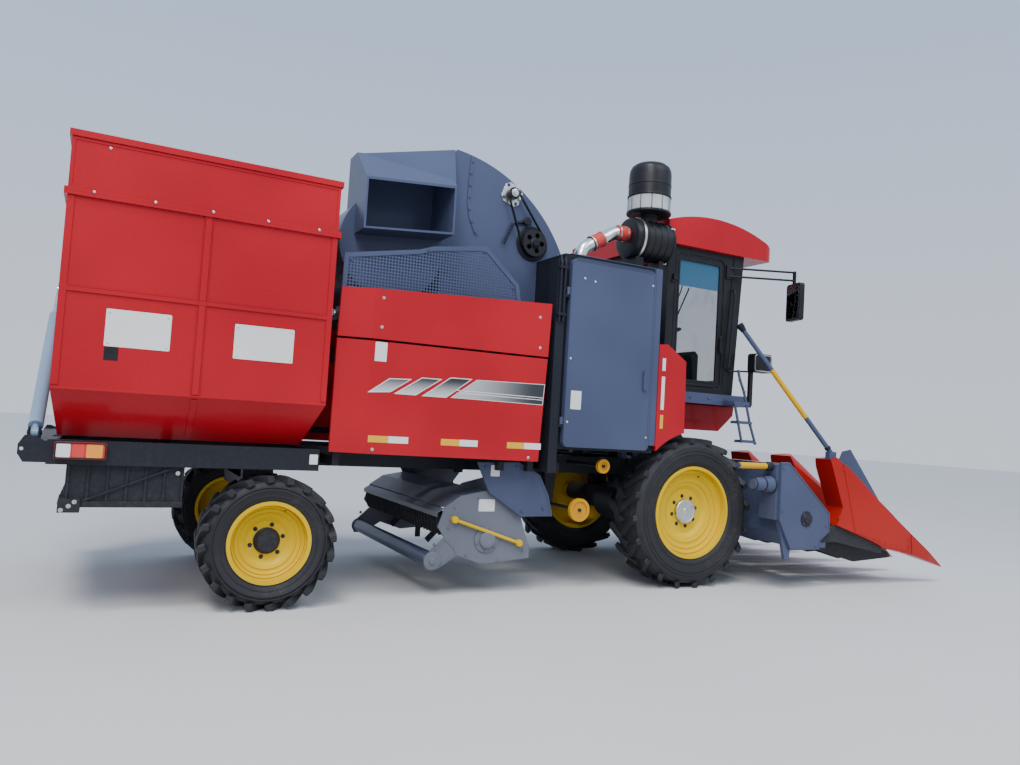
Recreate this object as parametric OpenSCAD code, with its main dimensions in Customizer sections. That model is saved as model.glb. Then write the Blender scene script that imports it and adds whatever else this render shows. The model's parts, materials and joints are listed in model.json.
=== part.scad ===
// Self-propelled maize harvester with a side-tipping cob bin and a five-row header.
// X runs forward, Y to the machine's left, Z up; the origin is on the ground at mid length.
// Lengths along X are given from the rear axle, and placed() moves them to the origin.
// What stands from the side doors forward keeps its distance from the front axle: its places
// along X are those of a machine with the standard wheelbase, and ahead() moves them along.

/* [Wheels] */
// Distance between the front and rear axles
wheelbase = 3642; // [3620:1:3660]
// Radius over the lugs of a front tyre
front_r = 662; // [650:1:670]
// Section width of a front tyre
front_w = 378; // [360:1:385]
// Radius of a front rim's flange
front_rim_r = 408; // [395:1:415]
// Distance between a front rim's two faces
front_rim_w = 330; // [310:1:334]
// Radius over the lugs of a rear tyre
rear_r = 452; // [440:1:456]
// Section width of a rear tyre
rear_w = 284; // [270:1:290]
// Radius of a rear rim's flange
rear_rim_r = 279; // [270:1:285]
// Distance between a rear rim's two faces
rear_rim_w = 254; // [240:1:258]
// Distance from the centre line to each rim's outer face
rim_face_y = 1100; // [1096:1:1106]
// Height of the lugs above the tyre's tread
lug_h = 30; // [20:1:36]
// Lugs on each half of a tyre's tread
lug_count = 20; // [14:1:24]
// How far a rim's disc lies inside its outer face
rim_recess = 125; // [115:1:130]
// Radius of a wheel spindle
spindle_r = 40; // [30:1:50]
// Distance from the centre line to a rear kingpin
kingpin_y = 790; // [780:1:794]
// Radius of a rear kingpin
kingpin_r = 25; // [18:1:30]

/* [Chassis] */
// Distance from the centre line to a main rail's outer face
rail_y = 470; // [455:1:480]
// Width of a main rail
rail_w = 80; // [70:1:90]
// Height of the underside of the main rails
rail_z = 940; // [936:1:944]
// Depth of the rails and of the bin's frame
rail_h = 150; // [146:1:154]
// Distance from the centre line to the outer face of the bin's frame
sub_y = 1060; // [1040:1:1070]
// Rearmost point of the tail bracket, behind the rear axle
tail_x = 1520; // [1516:1:1560]
// Radius of the tow pin's hole
tow_r = 16; // [12:0.5:20]

/* [Bin] */
// Distance from the centre line to the bin's side walls
bin_y = 1170; // [1150:1:1180]
// Rear face of the bin, behind the rear axle
bin_rear = 1350; // [1335:1:1355]
// Front face of the bin, ahead of the rear axle
bin_front = 290; // [270:1:300]
// Height of the bin's floor
bin_floor_z = 1110; // [1106:1:1120]
// Half width of the bin's floor
bin_floor_y = 900; // [880:1:910]
// Height where the walls turn in to the floor
bin_fold_z = 1400; // [1380:1:1420]
// Height of the joint below the extension board
bin_seam_z = 2580; // [2500:1:2620]
// Height of the extension board's top edge
bin_top_z = 2955; // [2900:1:2980]
// Thickness of the bin's walls
bin_wall = 12; // [8:1:16]

/* [Body] */
// Distance from the centre line to the red side panels
panel_y = 1170; // [1165:1:1180]
// Thickness of the side panels
panel_t = 25; // [15:1:30]
// Rear edge of the side panels, ahead of the rear axle
panel_rear = 350; // [345:1:360]
// Front edge of the side panels, ahead of the rear axle
panel_front = 2020; // [2000:1:2030]
// Height of the gap between the upper and the lower panel
panel_gap_z = 1885; // [1850:1:1920]
// Rear edge of a side door, ahead of the rear axle
door_rear = 2210; // [2205:1:2220]
// Width of a side door
door_w = 850; // [800:1:856]
// Underside of a side door
door_z = 1190; // [1180:1:1220]
// Top of a side door
door_top = 2720; // [2680:1:2740]
// Thickness of a side door
door_t = 45; // [30:1:50]
// Distance from the centre line to the elevator's side
hood_y = 640; // [600:1:660]

/* [Cab] */
// Half width of the cab
cab_y = 790; // [780:1:800]
// Rear face of the cab, ahead of the rear axle
cab_rear = 3480; // [3470:1:3490]
// Front face of the cab at its floor, ahead of the rear axle
cab_front = 4330; // [4315:1:4350]
// Height of the cab's floor
cab_floor_z = 1745; // [1740:1:1760]
// Underside of the cab's roof
cab_top_z = 3110; // [3100:1:3120]
// Top of the cab's roof
roof_top_z = 3460; // [3440:1:3480]

/* [Chopper] */
// Distance from the centre line to the straw chopper's side plates
chop_y = 950; // [930:1:960]
// Radius of the chopper's knife circle
knife_r = 210; // [180:5:215]
// Radius of the gauge roller
gauge_r = 60; // [50:1:66]

/* [Header] */
// Half width of the header
header_y = 1450; // [1446:1:1460]
// Distance between two rows
row_pitch = 560; // [554:1:564]
// Foremost point of the snouts, ahead of the rear axle
snout_tip = 6705; // [6690:1:6720]
// Radius of the auger's flights
auger_r = 190; // [170:5:195]
// Radius of the auger's tube
auger_tube_r = 85; // [70:5:95]

/* [Hidden] */
$fn = 48;

// Running clearance of a shaft in its bore, and the gap between seated pieces
run = 0.05;
fit = 0.3;
standard_wheelbase = 3642;
fore = wheelbase - standard_wheelbase;
mid_x = (snout_tip + fore - tail_x) / 2;
// Steps around the largest arcs
fine = 240;
panel_end = panel_front + fore;
hood_rear = 1270;
hood_end = hood_rear + fore;

body_red = [0.70, 0.13, 0.17];
snout_red = [0.78, 0.18, 0.12];
dark_blue = [0.27, 0.31, 0.42];
frame_grey = [0.16, 0.18, 0.21];
plate_grey = [0.42, 0.45, 0.52];
rod_silver = [0.75, 0.76, 0.78];
rim_yellow = [0.88, 0.78, 0.13];
pulley_orange = [0.9, 0.55, 0.1];
cylinder_blue = [0.50, 0.60, 0.72];
black = [0.10, 0.10, 0.12];
glass_tint = [0.6, 0.75, 0.85, 0.4];

// General shapes

module placed() {
  translate([-mid_x, 0, 0]) children();
}

module ahead() {
  translate([fore - mid_x, 0, 0]) children();
}

module both() {
  children();
  mirror([0, 1, 0]) children();
}

// A plate cut to an outline in X and Z, from y to y + t
module side_plate(points, y, t) {
  translate([0, y + t, 0]) rotate([90, 0, 0]) linear_extrude(t) polygon(points);
}

// A bar along X with a section in Y and Z
module long_bar(points, x, length) {
  translate([x, 0, 0]) rotate([90, 0, 90]) linear_extrude(length) polygon(points);
}

module block(low, high) {
  translate(low) cube(high - low);
}

// A rectangle with rounded corners
module soft_rect(low, high, r) {
  union() {
    translate([low.x + r, low.y]) square([high.x - low.x - 2 * r, high.y - low.y]);
    translate([low.x, low.y + r]) square([high.x - low.x, high.y - low.y - 2 * r]);
    for (x = [low.x + r, high.x - r]) for (y = [low.y + r, high.y - r]) translate([x, y]) circle(r = r);
  }
}

// That rectangle as a plate in X and Z, from y to y + t
module soft_plate(low, high, r, y, t) {
  translate([0, y + t, 0]) rotate([90, 0, 0]) linear_extrude(t) soft_rect(low, high, r);
}

// The same along X, with its corners in Y and Z
module soft_bar(low, high, r, x, length) {
  translate([x, 0, 0]) rotate([90, 0, 90]) linear_extrude(length) soft_rect(low, high, r);
}

module rod(p, q, r) {
  d = q - p;
  length = norm(d);
  translate(p) rotate([0, acos(d.z / length), atan2(d.y, d.x)]) cylinder(r = r, h = length);
}

// A cylinder along Y from y0 to y1
module cross_rod(x, z, r, y0, y1) {
  translate([x, y1, z]) rotate([90, 0, 0]) cylinder(r = r, h = y1 - y0);
}

// A cylinder along X from x0 to x1
module along_rod(y, z, r, x0, x1) {
  translate([x0, y, z]) rotate([0, 90, 0]) cylinder(r = r, h = x1 - x0);
}

// Wheels: each is drawn about its own axis, with +Z outboard

rim_edge_t = 10;
bead_drop = 14;
barrel_t = 12;
hub_r = 92;
hub_len = 90;
cap_r = 66;
cap_h = 28;
lug_w = 42;
lug_angle = 40;

module tyre(r, w, rim_r, rim_w) {
  tread_r = r - lug_h;
  bead_r = rim_r - bead_drop + fit;
  bulge_r = (tread_r + rim_r) / 2;
  // Each row: radius, distance from the tyre's middle plane
  section = [
    [bead_r, rim_w / 2 - rim_edge_t - fit], [rim_r + 1, rim_w / 2 - rim_edge_t - fit], [rim_r + 30, w / 2 - 14],
    [bulge_r, w / 2], [tread_r - 50, w / 2 - 6], [tread_r - 14, w / 2 - 30], [tread_r, w / 2 - 90]
  ];
  far_side = [for (i = [len(section) - 1 : -1 : 0]) [section[i][0], -section[i][1]]];
  rotate_extrude() polygon(concat(section, far_side));
  intersection() {
    translate([0, 0, -w / 2 + 4]) cylinder(r = r, h = w - 8, $fn = 96);
    for (side = [0, 1]) mirror([0, 0, side]) for (i = [0 : lug_count - 1])
      rotate((i + side / 2) * 360 / lug_count) translate([tread_r - 30, 0, 0])
        rotate([lug_angle, 0, 0]) translate([0, -lug_w / 2, -8]) cube([lug_h + 60, lug_w, w * 0.68]);
  }
}

module rim(rim_r, rim_w) {
  disc_z = rim_w / 2 - rim_recess;
  step_r = rim_r * 0.78;
  flat_r = rim_r * 0.5;
  wall_r = rim_r - bead_drop - barrel_t + 1;
  difference() {
    rotate_extrude() {
      translate([wall_r - 1, -rim_w / 2]) square([barrel_t, rim_w]);
      for (z = [-rim_w / 2, rim_w / 2 - rim_edge_t])
        translate([rim_r - bead_drop - 1, z]) square([bead_drop + 1, rim_edge_t]);
      polygon([
        [0, disc_z - 10], [flat_r, disc_z - 10], [flat_r + 35, disc_z + 15], [step_r, disc_z + 30],
        [wall_r, disc_z + 58], [wall_r, disc_z + 70], [step_r - 6, disc_z + 42],
        [flat_r + 29, disc_z + 27], [flat_r - 6, disc_z], [0, disc_z]
      ]);
      translate([0, disc_z - hub_len]) square([hub_r, hub_len]);
      translate([0, disc_z - 1]) square([cap_r, cap_h + 1]);
    }
    translate([0, 0, disc_z - hub_len - 1]) cylinder(r = spindle_r + run, h = hub_len);
  }
}

// Puts a wheel drawn about +Z on its axle; side is -1 on the right and 1 on the left
module on_axle(x, r, rim_w, side) {
  placed() translate([x, side * (rim_face_y - rim_w / 2), r]) rotate([-side * 90, 0, 0]) children();
}

module front_tyre(side) {
  color(black) on_axle(wheelbase, front_r, front_rim_w, side) tyre(front_r, front_w, front_rim_r, front_rim_w);
}

module rear_tyre(side) {
  color(black) on_axle(0, rear_r, rear_rim_w, side) tyre(rear_r, rear_w, rear_rim_r, rear_rim_w);
}

module front_rim(side) {
  color(rim_yellow) on_axle(wheelbase, front_r, front_rim_w, side) rim(front_rim_r, front_rim_w);
}

module rear_rim(side) {
  color(rim_yellow) on_axle(0, rear_r, rear_rim_w, side) rim(rear_rim_r, rear_rim_w);
}

module tyre_front_right() front_tyre(-1);
module tyre_front_left() front_tyre(1);
module tyre_rear_right() rear_tyre(-1);
module tyre_rear_left() rear_tyre(1);
module rim_front_right() front_rim(-1);
module rim_front_left() front_rim(1);
module rim_rear_right() rear_rim(-1);
module rim_rear_left() rear_rim(1);

// Axles

hub_back_y = rim_face_y - rim_recess - hub_len;
spindle_end_y = rim_face_y - rim_recess - 6;
case_half = 110;

module front_axle() color(frame_grey) placed() {
  cross_rod(wheelbase, front_r, spindle_r, -spindle_end_y, spindle_end_y);
  cross_rod(wheelbase, front_r, 95, -hub_back_y + 8, hub_back_y - 8);
  block(
    [wheelbase - case_half, -rail_y, front_r - case_half], [wheelbase + case_half, rail_y, front_r + case_half]
  );
  cross_rod(wheelbase - 40, front_r - 20, 180, -150, 150);
  both() {
    block([wheelbase - 90, rail_y - rail_w, front_r + case_half - 1], [wheelbase + 90, rail_y, rail_z]);
    // Ears and pins for the header's lift cylinders
    for (y = [lift_y - 34, lift_y + 22]) block(
      [min(wheelbase, lift_foot_x + fore - 30), y, lift_foot_z - 40],
      [max(wheelbase, lift_foot_x + fore + 30), y + 12, lift_foot_z + 40]
    );
    cross_rod(lift_foot_x + fore, lift_foot_z, pin_r, lift_y - 30, lift_y + 30);
  }
}

axle_z = rear_r;
eye_h = 120;
ear_t = 28;
ear_gap = 2;
ear_low = axle_z - eye_h / 2 - ear_gap - ear_t;
ear_high = axle_z + eye_h / 2 + ear_gap + ear_t;
cradle_z = rail_z - 200;

module rear_axle() color(frame_grey) placed() {
  difference() {
    union() {
      block([-70, -kingpin_y + 40, axle_z - 60], [70, kingpin_y - 40, axle_z + 60]);
      both() translate([0, kingpin_y, axle_z - eye_h / 2]) cylinder(r = 52, h = eye_h);
      // Pivot block under the cradle that hangs from the main rails
      block([-60, -90, axle_z + 59], [60, 90, cradle_z + 40]);
      block([-110, -rail_y, cradle_z], [110, rail_y, cradle_z + 90]);
      both() block([-110, rail_y - rail_w, cradle_z + 89], [110, rail_y, rail_z]);
    }
    both() translate([0, kingpin_y, axle_z - eye_h]) cylinder(r = kingpin_r + run, h = 2 * eye_h);
  }
}

module knuckle() color(plate_grey) placed() {
  translate([0, kingpin_y, ear_low]) cylinder(r = kingpin_r, h = ear_high - ear_low);
  for (z = [ear_low, ear_high - ear_t]) translate([0, 0, z]) linear_extrude(ear_t) union() {
    translate([0, kingpin_y]) circle(r = 50);
    translate([-45, kingpin_y]) square([90, 80]);
  }
  block([-45, kingpin_y + 58, ear_low], [45, hub_back_y - 4, ear_high]);
  cross_rod(0, axle_z, spindle_r, kingpin_y + 62, spindle_end_y);
}

module knuckle_right() mirror([0, 1, 0]) knuckle();
module knuckle_left() knuckle();

// Chassis

rail_front = 3900;
rail_rear = -1340;
sub_front = 300;
rail_top = rail_z + rail_h;
pin_r = 15;
tip_y = 1060;
tip_z = 1190;
stand_t = 20;
lug_gap = 2;
// Places along X of the bin's two hinge lugs
tip_lugs = [-1200, 150];
tow_x = -tail_x + 30;
header_pin_x = 3980;
header_pin_z = 1330;
header_pin_r = 25;
feeder_y = 330;
ear_y = feeder_y + 15;
chop_pin_x = 2050;
chop_pin_z = 890;
chop_arm_y = 500;

module main_rails() color(frame_grey) placed() difference() {
  union() {
    both() block([rail_rear, rail_y - rail_w, rail_z], [rail_front + fore, rail_y, rail_top]);
    for (x = [700, 1500, 3060 + fore]) block([x, -rail_y + 1, rail_z + 20], [x + 70, rail_y - 1, rail_top - 20]);
    // Pads that the bin's floor rests on
    for (x = [-900, -100]) block([x, -rail_y, rail_top - 1], [x + 80, -rail_y + rail_w, bin_floor_z - fit]);
    // Ears that carry the feeder house, and those of the straw chopper
    translate([fore, 0, 0]) both() {
      block([3780, ear_y, rail_top - 1], [header_pin_x + 45, ear_y + 20, header_pin_z + 45]);
      block([3780, ear_y, rail_top - 80], [rail_front, rail_y - rail_w + 1, rail_top]);
    }
    both() block(
      [chop_pin_x - 40, chop_arm_y - 42, chop_pin_z - 40], [chop_pin_x + 40, chop_arm_y - 22, rail_z + 1]
    );
  }
  both() cross_rod(header_pin_x + fore, header_pin_z, header_pin_r + run, feeder_y, ear_y + 40);
  both() cross_rod(chop_pin_x, chop_pin_z, pin_r + run, chop_arm_y - 60, chop_arm_y);
}

module bin_frame() color(frame_grey) placed() difference() {
  union() {
    both() {
      block([rail_rear - 1, sub_y - 60, rail_z], [sub_front, sub_y, rail_top]);
      for (x = [rail_rear - 1, -700, 240])
        block([x, rail_y + fit, rail_z + 20], [x + 60, sub_y - 59, rail_top - 5]);
      // Gusset and lashing eye at the corner
      side_plate([
        [-tail_x + 61, rail_z + 11], [-tail_x + 30, rail_z + 60], [-tail_x + 30, rail_z + 115],
        [-tail_x + 61, rail_top + 20], [-tail_x + 90, rail_top + 20], [rail_rear - 10, rail_top - 11]
      ], sub_y - 13, 12);
    }
    block([-tail_x + 60, -sub_y, rail_z + 10], [rail_rear - fit, sub_y, rail_top - 10]);
    // Jaw of the tow pin
    for (z = [rail_z + 10, rail_z + 110]) jaw_plate(z);
    // Stands that carry the bin's hinge pins
    for (x = tip_lugs) long_bar([
      [sub_y - 60, rail_top - 1], [tip_y - 34, tip_z], [tip_y - 16, tip_z + 30], [tip_y + 16, tip_z + 30],
      [tip_y + 34, tip_z], [sub_y, rail_top - 1]
    ], x + lug_t + lug_gap, stand_t);
    // Ears of the tipping cylinder's foot
    for (x = [tip_foot.x - 34, tip_foot.x + 22])
      block([x, tip_foot.y - 40, rail_top - 11], [x + 12, tip_foot.y + 40, tip_foot.z + 35]);
    along_rod(tip_foot.y, tip_foot.z, pin_r, tip_foot.x - 40, tip_foot.x + 40);
  }
  translate([tow_x, 0, rail_z]) cylinder(r = tow_r, h = rail_h + 20);
  for (x = tip_lugs) along_rod(tip_y, tip_z, pin_r + run, x, x + 60);
  both() cross_rod(-tail_x + 50, rail_z + 88, 11, sub_y - 14, sub_y);
}

module jaw_plate(z) {
  translate([0, 0, z]) linear_extrude(30) union() {
    translate([tow_x, 0]) circle(r = 30);
    polygon([[tow_x, -30], [-tail_x + 65, -75], [-tail_x + 65, 75], [tow_x, 30]]);
  }
}

// Beams from rail to posts, those under the elevator and the blower, and the idlers' stand
beam_x = [panel_rear + 350, hood_end + 15, panel_end - 120];
outrigger_x = [panel_rear + 40, 1700, panel_end - 60];
idler_y = 1010;
big_idler = [2488, 673];
small_idler = [2704, 1040];
idler_shaft_r = 14;

module cross_beams() color(frame_grey) placed() {
  both() for (x = outrigger_x) block([x, rail_y + fit, rail_z + 40], [x + 50, post_y + 50, rail_z + 110]);
  both() translate([fore, 0, 0])
    block([door_rear + 40, rail_y + fit, rail_z + 40], [door_rear + 100, panel_y - 200, rail_z + 110]);
  for (x = beam_x) block([x, -post_y + fit, frame_top - 59], [x + 50, post_y - fit, frame_top - fit]);
  translate([fore, 0, 0]) {
    block([big_idler.x - 60, -rail_y - 71, rail_z + 20], [big_idler.x + 60, -rail_y - fit, rail_z + 60]);
    side_plate([
      [big_idler.x - 60, rail_z + 60], [big_idler.x + 60, rail_z + 60], [big_idler.x + 30, big_idler.y - 30],
      [big_idler.x - 30, big_idler.y - 30]
    ], -rail_y - 70, 20);
    cross_rod(big_idler.x, big_idler.y, idler_shaft_r, -idler_y - 38, -rail_y - 52);
    cross_rod(small_idler.x, small_idler.y, idler_shaft_r, -idler_y - 38, -rail_y - fit);
  }
}

module idler_pulleys() color(pulley_orange) ahead() {
  // Each row: place in X and Z, radius
  for (p = [[big_idler, 95], [small_idler, 60]]) difference() {
    union() {
      for (y = [0, 26]) cross_rod(p[0].x, p[0].y, p[1], -idler_y - 34 + y, -idler_y - 26 + y);
      cross_rod(p[0].x, p[0].y, p[1] - 12, -idler_y - 34, -idler_y);
    }
    cross_rod(p[0].x, p[0].y, idler_shaft_r + run, -idler_y - 40, -idler_y + 1);
    cross_rod(p[0].x, p[0].y, p[1] - 24, -idler_y - 35, -idler_y - 24);
  }
}

guard_rear = -1230;
guard_front = -560;
slat_pitch = 108;

module tail_guard() color(frame_grey) placed() {
  both() {
    block([guard_rear, sub_y - 50, 700], [guard_front, sub_y - 38, rail_z]);
    for (x = [guard_rear + 8 : slat_pitch : guard_front])
      block([x, sub_y - 39, 702], [x + 12, sub_y - 24, rail_z]);
    block([guard_rear, sub_y - 60, 680], [guard_front, sub_y - 20, 716]);
    // Diagonal brace over the slats
    side_plate([[guard_rear + 70, 712], [guard_rear + 90, 712], [-610, 935], [-640, 935]], sub_y - 25, 9);
  }
  block([guard_rear - 30, -sub_y, 650], [guard_rear + 90, sub_y, 730]);
}

module tail_lamps() color([0.8, 0.15, 0.1]) placed() both() {
  soft_plate([-1300, rail_z + 36], [-1020, rail_z + 140], 16, sub_y + fit, 40);
}

module engine() color([0.35, 0.37, 0.4]) ahead() {
  block([2200, -430, rail_top + fit], [2560, 430, rail_top + 500]);
}

// Body

crease_x = panel_rear + 230;
panel_turn = 60;
post_y = panel_y - 160;
frame_top = 2230;

module panel_plan() {
  polygon([
    [panel_rear, panel_y - panel_turn], [crease_x, panel_y], [panel_end + 60, panel_y],
    [panel_end + 60, panel_y - panel_t], [crease_x, panel_y - panel_t],
    [panel_rear, panel_y - panel_turn - panel_t]
  ]);
}

module side_panels() color(body_red) placed() both() {
  intersection() {
    translate([0, 0, 1000]) linear_extrude(1500) panel_plan();
    union() {
      side_plate([
        [panel_rear, 1080], [panel_end - 30, 1065], [panel_end + 5, panel_gap_z - 8], [panel_rear, panel_gap_z - 8]
      ], panel_y - 200, 250);
      side_plate([
        [panel_rear + 2, panel_gap_z + 8], [panel_end + 8, panel_gap_z + 8], [panel_end + 20, 2320],
        [panel_rear + 10, 2240]
      ], panel_y - 200, 250);
    }
  }
}

// Outline of a slotted guard in X and Z
guard_line = [
  [panel_rear + 20, frame_top - 30], [panel_rear + 20, 2490], [panel_rear + 580, 2600], [panel_rear + 690, 2640],
  [panel_end - 540, 2710], [panel_end - 240, 2450], [panel_end - 190, frame_top - 30]
];
guard_t = 12;
slot_w = 16;
slot_pitch = 60;
slot_high = 2440;
deflector_y = 985;

module body_guards() color(dark_blue) placed() both() {
  difference() {
    side_plate(guard_line, post_y + 50 + fit, guard_t);
    for (x = [panel_rear + 60 : slot_pitch : panel_end - 290])
      block([x, post_y + 49, frame_top + 20], [x + slot_w, post_y + 80, slot_high]);
  }
  // Plate beside the straw chopper, with notches for the beams
  difference() {
    side_plate([
      [1548, 1038], [1920, 1049], [2120, 950], [2211, 782], [2256, 616], [1962, 612], [1661, 807]
    ], deflector_y, guard_t);
    for (x = outrigger_x)
      block([x - fit, deflector_y - 1, rail_z + 40 - fit], [x + 50 + fit, deflector_y + 20, rail_z + 110 + fit]);
  }
}

// Hinge of a side door: the axis runs upward just behind the door's rear edge
door_pin_x = door_rear - 18;
door_pin_y = panel_y - 20;
door_pin_r = 8;
door_knuckle_r = 14;
door_knuckle_h = 60;
door_hinge_z = [door_z + 180, door_top - 300];
door_gap = 5;
case_y = panel_y - 5 - door_t - door_gap;
case_front = 3140;
case_top = 2760;

module side_frames() color(frame_grey) placed() both() {
  for (x = [panel_rear + 40, panel_end - 60])
    block([x, post_y, rail_z + 110 + fit], [x + 50, post_y + 50, frame_top]);
  block([panel_rear + 40, post_y, frame_top - 60], [panel_end - 10, post_y + 50, frame_top]);
  for (z = [1150, panel_gap_z - 40])
    block([panel_rear + 41, post_y + 1, z], [panel_end - 11, post_y + 49, z + 60]);
  // Standoffs from the posts to the panels
  for (x = [crease_x + 60, panel_end - 60]) for (z = [1160, panel_gap_z - 50, panel_gap_z + 10, frame_top - 58])
    block([x, post_y + 40, z], [x + 40, panel_y - panel_t - fit, z + 25]);
  // Links to the post beside the side door
  for (z = [1500, frame_top - 59])
    block([panel_end - 12, post_y + 1, z], [panel_end + 70 - fit, post_y + 49, z + 58]);
}

// Compartment behind the side doors, with the posts that carry their hinge pins
module cabinet() color(frame_grey) ahead() {
  both() {
    block([panel_front + 70, post_y, rail_z + 40], [door_pin_x - 22, panel_y - 20, 2700]);
    for (z = door_hinge_z) {
      block([door_pin_x - 23, door_pin_y - 12, z - 22], [door_pin_x + 8, door_pin_y + 8, z - 2]);
      translate([door_pin_x, door_pin_y, z - 3]) cylinder(r = door_pin_r, h = door_knuckle_h);
    }
    block([door_rear + 40, 600, rail_z + 110 + fit], [door_rear + 100, 660, 1171]);
  }
  difference() {
    block([door_pin_x - 24, -case_y, 1170], [case_front, case_y, case_top]);
    block([door_rear + 40, -panel_y, 1230], [door_rear + door_w - 20, panel_y, 2680]);
    block([door_rear - 100, -hood_y - fit, 1100], [case_front + 100, 500, 2900]);
  }
}

fender_rear = case_front + 10;

module fenders() color(body_red) ahead() both() {
  difference() {
    side_plate([
      [fender_rear, 1160], [fender_rear, 2110], [3230, 2118], [3440, 1985], [3455, 1300]
    ], panel_y - 40, 25);
    cross_rod(standard_wheelbase, front_r, front_r + 60, panel_y - 100, panel_y + 100, $fn = fine);
  }
  block([case_front + fit, case_y - 120, 1230], [fender_rear + 4, panel_y - 15, 2110]);
  side_plate([
    [3700, 1400], [3700, deck_low - fit], [4480, deck_low - fit], [4470, 1560], [4290, 1400]
  ], 640, 25);
}

module door_leaf() {
  soft_plate([door_rear, door_z], [door_rear + door_w, door_top], 45, panel_y - 5 - door_t, door_t);
  difference() {
    union() for (z = door_hinge_z) {
      translate([door_pin_x, door_pin_y, z]) cylinder(r = door_knuckle_r, h = door_knuckle_h);
      block([door_pin_x, door_pin_y - 6, z], [door_rear + 1, door_pin_y + 6, z + door_knuckle_h]);
    }
    for (z = door_hinge_z)
      translate([door_pin_x, door_pin_y, z - 1]) cylinder(r = door_pin_r + run, h = door_knuckle_h + 2);
  }
  // Pull handle near the free edge
  block([door_rear + door_w - 90, panel_y - 6, 1700], [door_rear + door_w - 60, panel_y + 14, 1860]);
}

module door_right() color(dark_blue) ahead() mirror([0, 1, 0]) door_leaf();
module door_left() color(dark_blue) ahead() door_leaf();

// Cob elevator: a sloping leg, a head with its hood rolled to one arc, and the channel that feeds it

hood_width = 768;
hood_wall = 12;
hood_centre = [1237.5, 2276];
hood_r = 1307.7;
// Where the leg meets the head
joint_low = [1990, frame_top];
joint_high = [2402, 2871];

module elevator_leg() color(dark_blue) ahead() {
  difference() {
    side_plate([
      joint_low + [fit, -fit], joint_high + [fit, -fit], [3200, 1500], [2960, 1300]
    ], -hood_y, hood_width);
    side_plate([
      joint_low + [-13, 30], joint_high + [-26, 20], [3220, 1442], [3012, 1267]
    ], -hood_y + hood_wall, hood_width - 2 * hood_wall);
  }
  // Channel from the feeder house, on brackets over the rails
  difference() {
    block([3130, -feeder_y, 1240], [3840, feeder_y, 1430]);
    block([3129, -feeder_y + 12, 1252], [3841, feeder_y - 12, 1418]);
  }
  both() {
    block([3300, feeder_y - 1, 1250], [3360, rail_y - 5, 1300]);
    block([3300, rail_y - rail_w + 5, rail_top + fit], [3360, rail_y - 5, 1299]);
  }
}

module elevator_head() color(dark_blue) ahead() {
  difference() {
    intersection() {
      side_plate([
        [hood_rear, frame_top], [hood_rear, 3440], [1374, 3600], [2300, 3600], joint_high, joint_low
      ], -hood_y, hood_width);
      cross_rod(hood_centre.x, hood_centre.y, hood_r, -hood_y, hood_y, $fn = fine);
    }
    intersection() {
      side_plate([
        [hood_rear + 14, frame_top + 14], [hood_rear + 14, 3434], [1390, 3600], [2300, 3600], [2440, 2880],
        [2030, frame_top + 14]
      ], -hood_y + hood_wall, hood_width - 2 * hood_wall);
      cross_rod(hood_centre.x, hood_centre.y, hood_r - hood_wall, -hood_y, hood_y, $fn = fine);
    }
    // Outlet towards the bin, beside the chute
    block([hood_rear - 1, -430, 3250], [hood_rear + 20, hood_width - hood_y - 40, 3420]);
  }
  // Flange where the sheets of the side meet
  side_plate([
    [1486, 3545], [1478, 3323], [1475, 3146], [1500, 3030], [1566, 2892], [1588, 2904], [1524, 3042],
    [1503, 3150], [1506, 3323], [1514, 3545]
  ], -hood_y - 8, 9);
}

// Blower with its discharge chute

spout_y = 950;
fan_r = (hood_end - bin_front - 140) / 2;
fan_x = bin_front + 130 + fan_r;
fan_z = frame_top + fan_r + 30;
chute_rear = fan_x - fan_r + 108;
chute_front = hood_end - 21;
chute_lean = 5;

// Height of the chute's roof, which rises inward from its mouth
function roof_z(y) = 3098 + (min(y, -hood_y) + spout_y) * 0.845;

module chute_form(inset, mouth_y, back_y, drop) intersection() {
  side_plate([
    [chute_rear + inset, 2720 + inset], [chute_rear + inset, 3600], [chute_front - inset, 3600],
    [chute_front - inset, 2787 + inset]
  ], mouth_y, back_y - mouth_y);
  translate([chute_rear, 0, 0]) rotate([0, -chute_lean, 0]) long_bar([
    [mouth_y, 2300], [mouth_y, roof_z(mouth_y) - drop], [-hood_y, roof_z(-hood_y) - drop],
    [back_y, roof_z(-hood_y) - drop], [back_y, 2300]
  ], -300, 2000 + 2 * fore);
}

module blower() color(dark_blue) placed() {
  difference() {
    union() {
      chute_form(0, -spout_y, -449, 0);
      cross_rod(fan_x, fan_z, fan_r, -700, 450);
    }
    chute_form(16, -spout_y - 20, -480, 21);
  }
  block([fan_x - 150, -300, frame_top], [fan_x - 80, 300, frame_top + 80]);
}

belt_upper = [1884, 3300];
belt_lower = [2106, 2907];
upper_pulley_r = 50;
lower_pulley_r = 115;

// Both runs of a belt around pulleys of radius r0 at p and r1 at q
module strap(p, q, r0, r1, y, w) {
  d = q - p;
  lean = asin((r1 - r0) / norm(d));
  for (side = [-1, 1]) translate([p.x, y, p.y]) rotate([0, -atan2(d.y, d.x) - side * lean, 0])
    translate([0, 0, side * r0 - 4]) cube([norm(d) * cos(lean), w, 8]);
}

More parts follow.
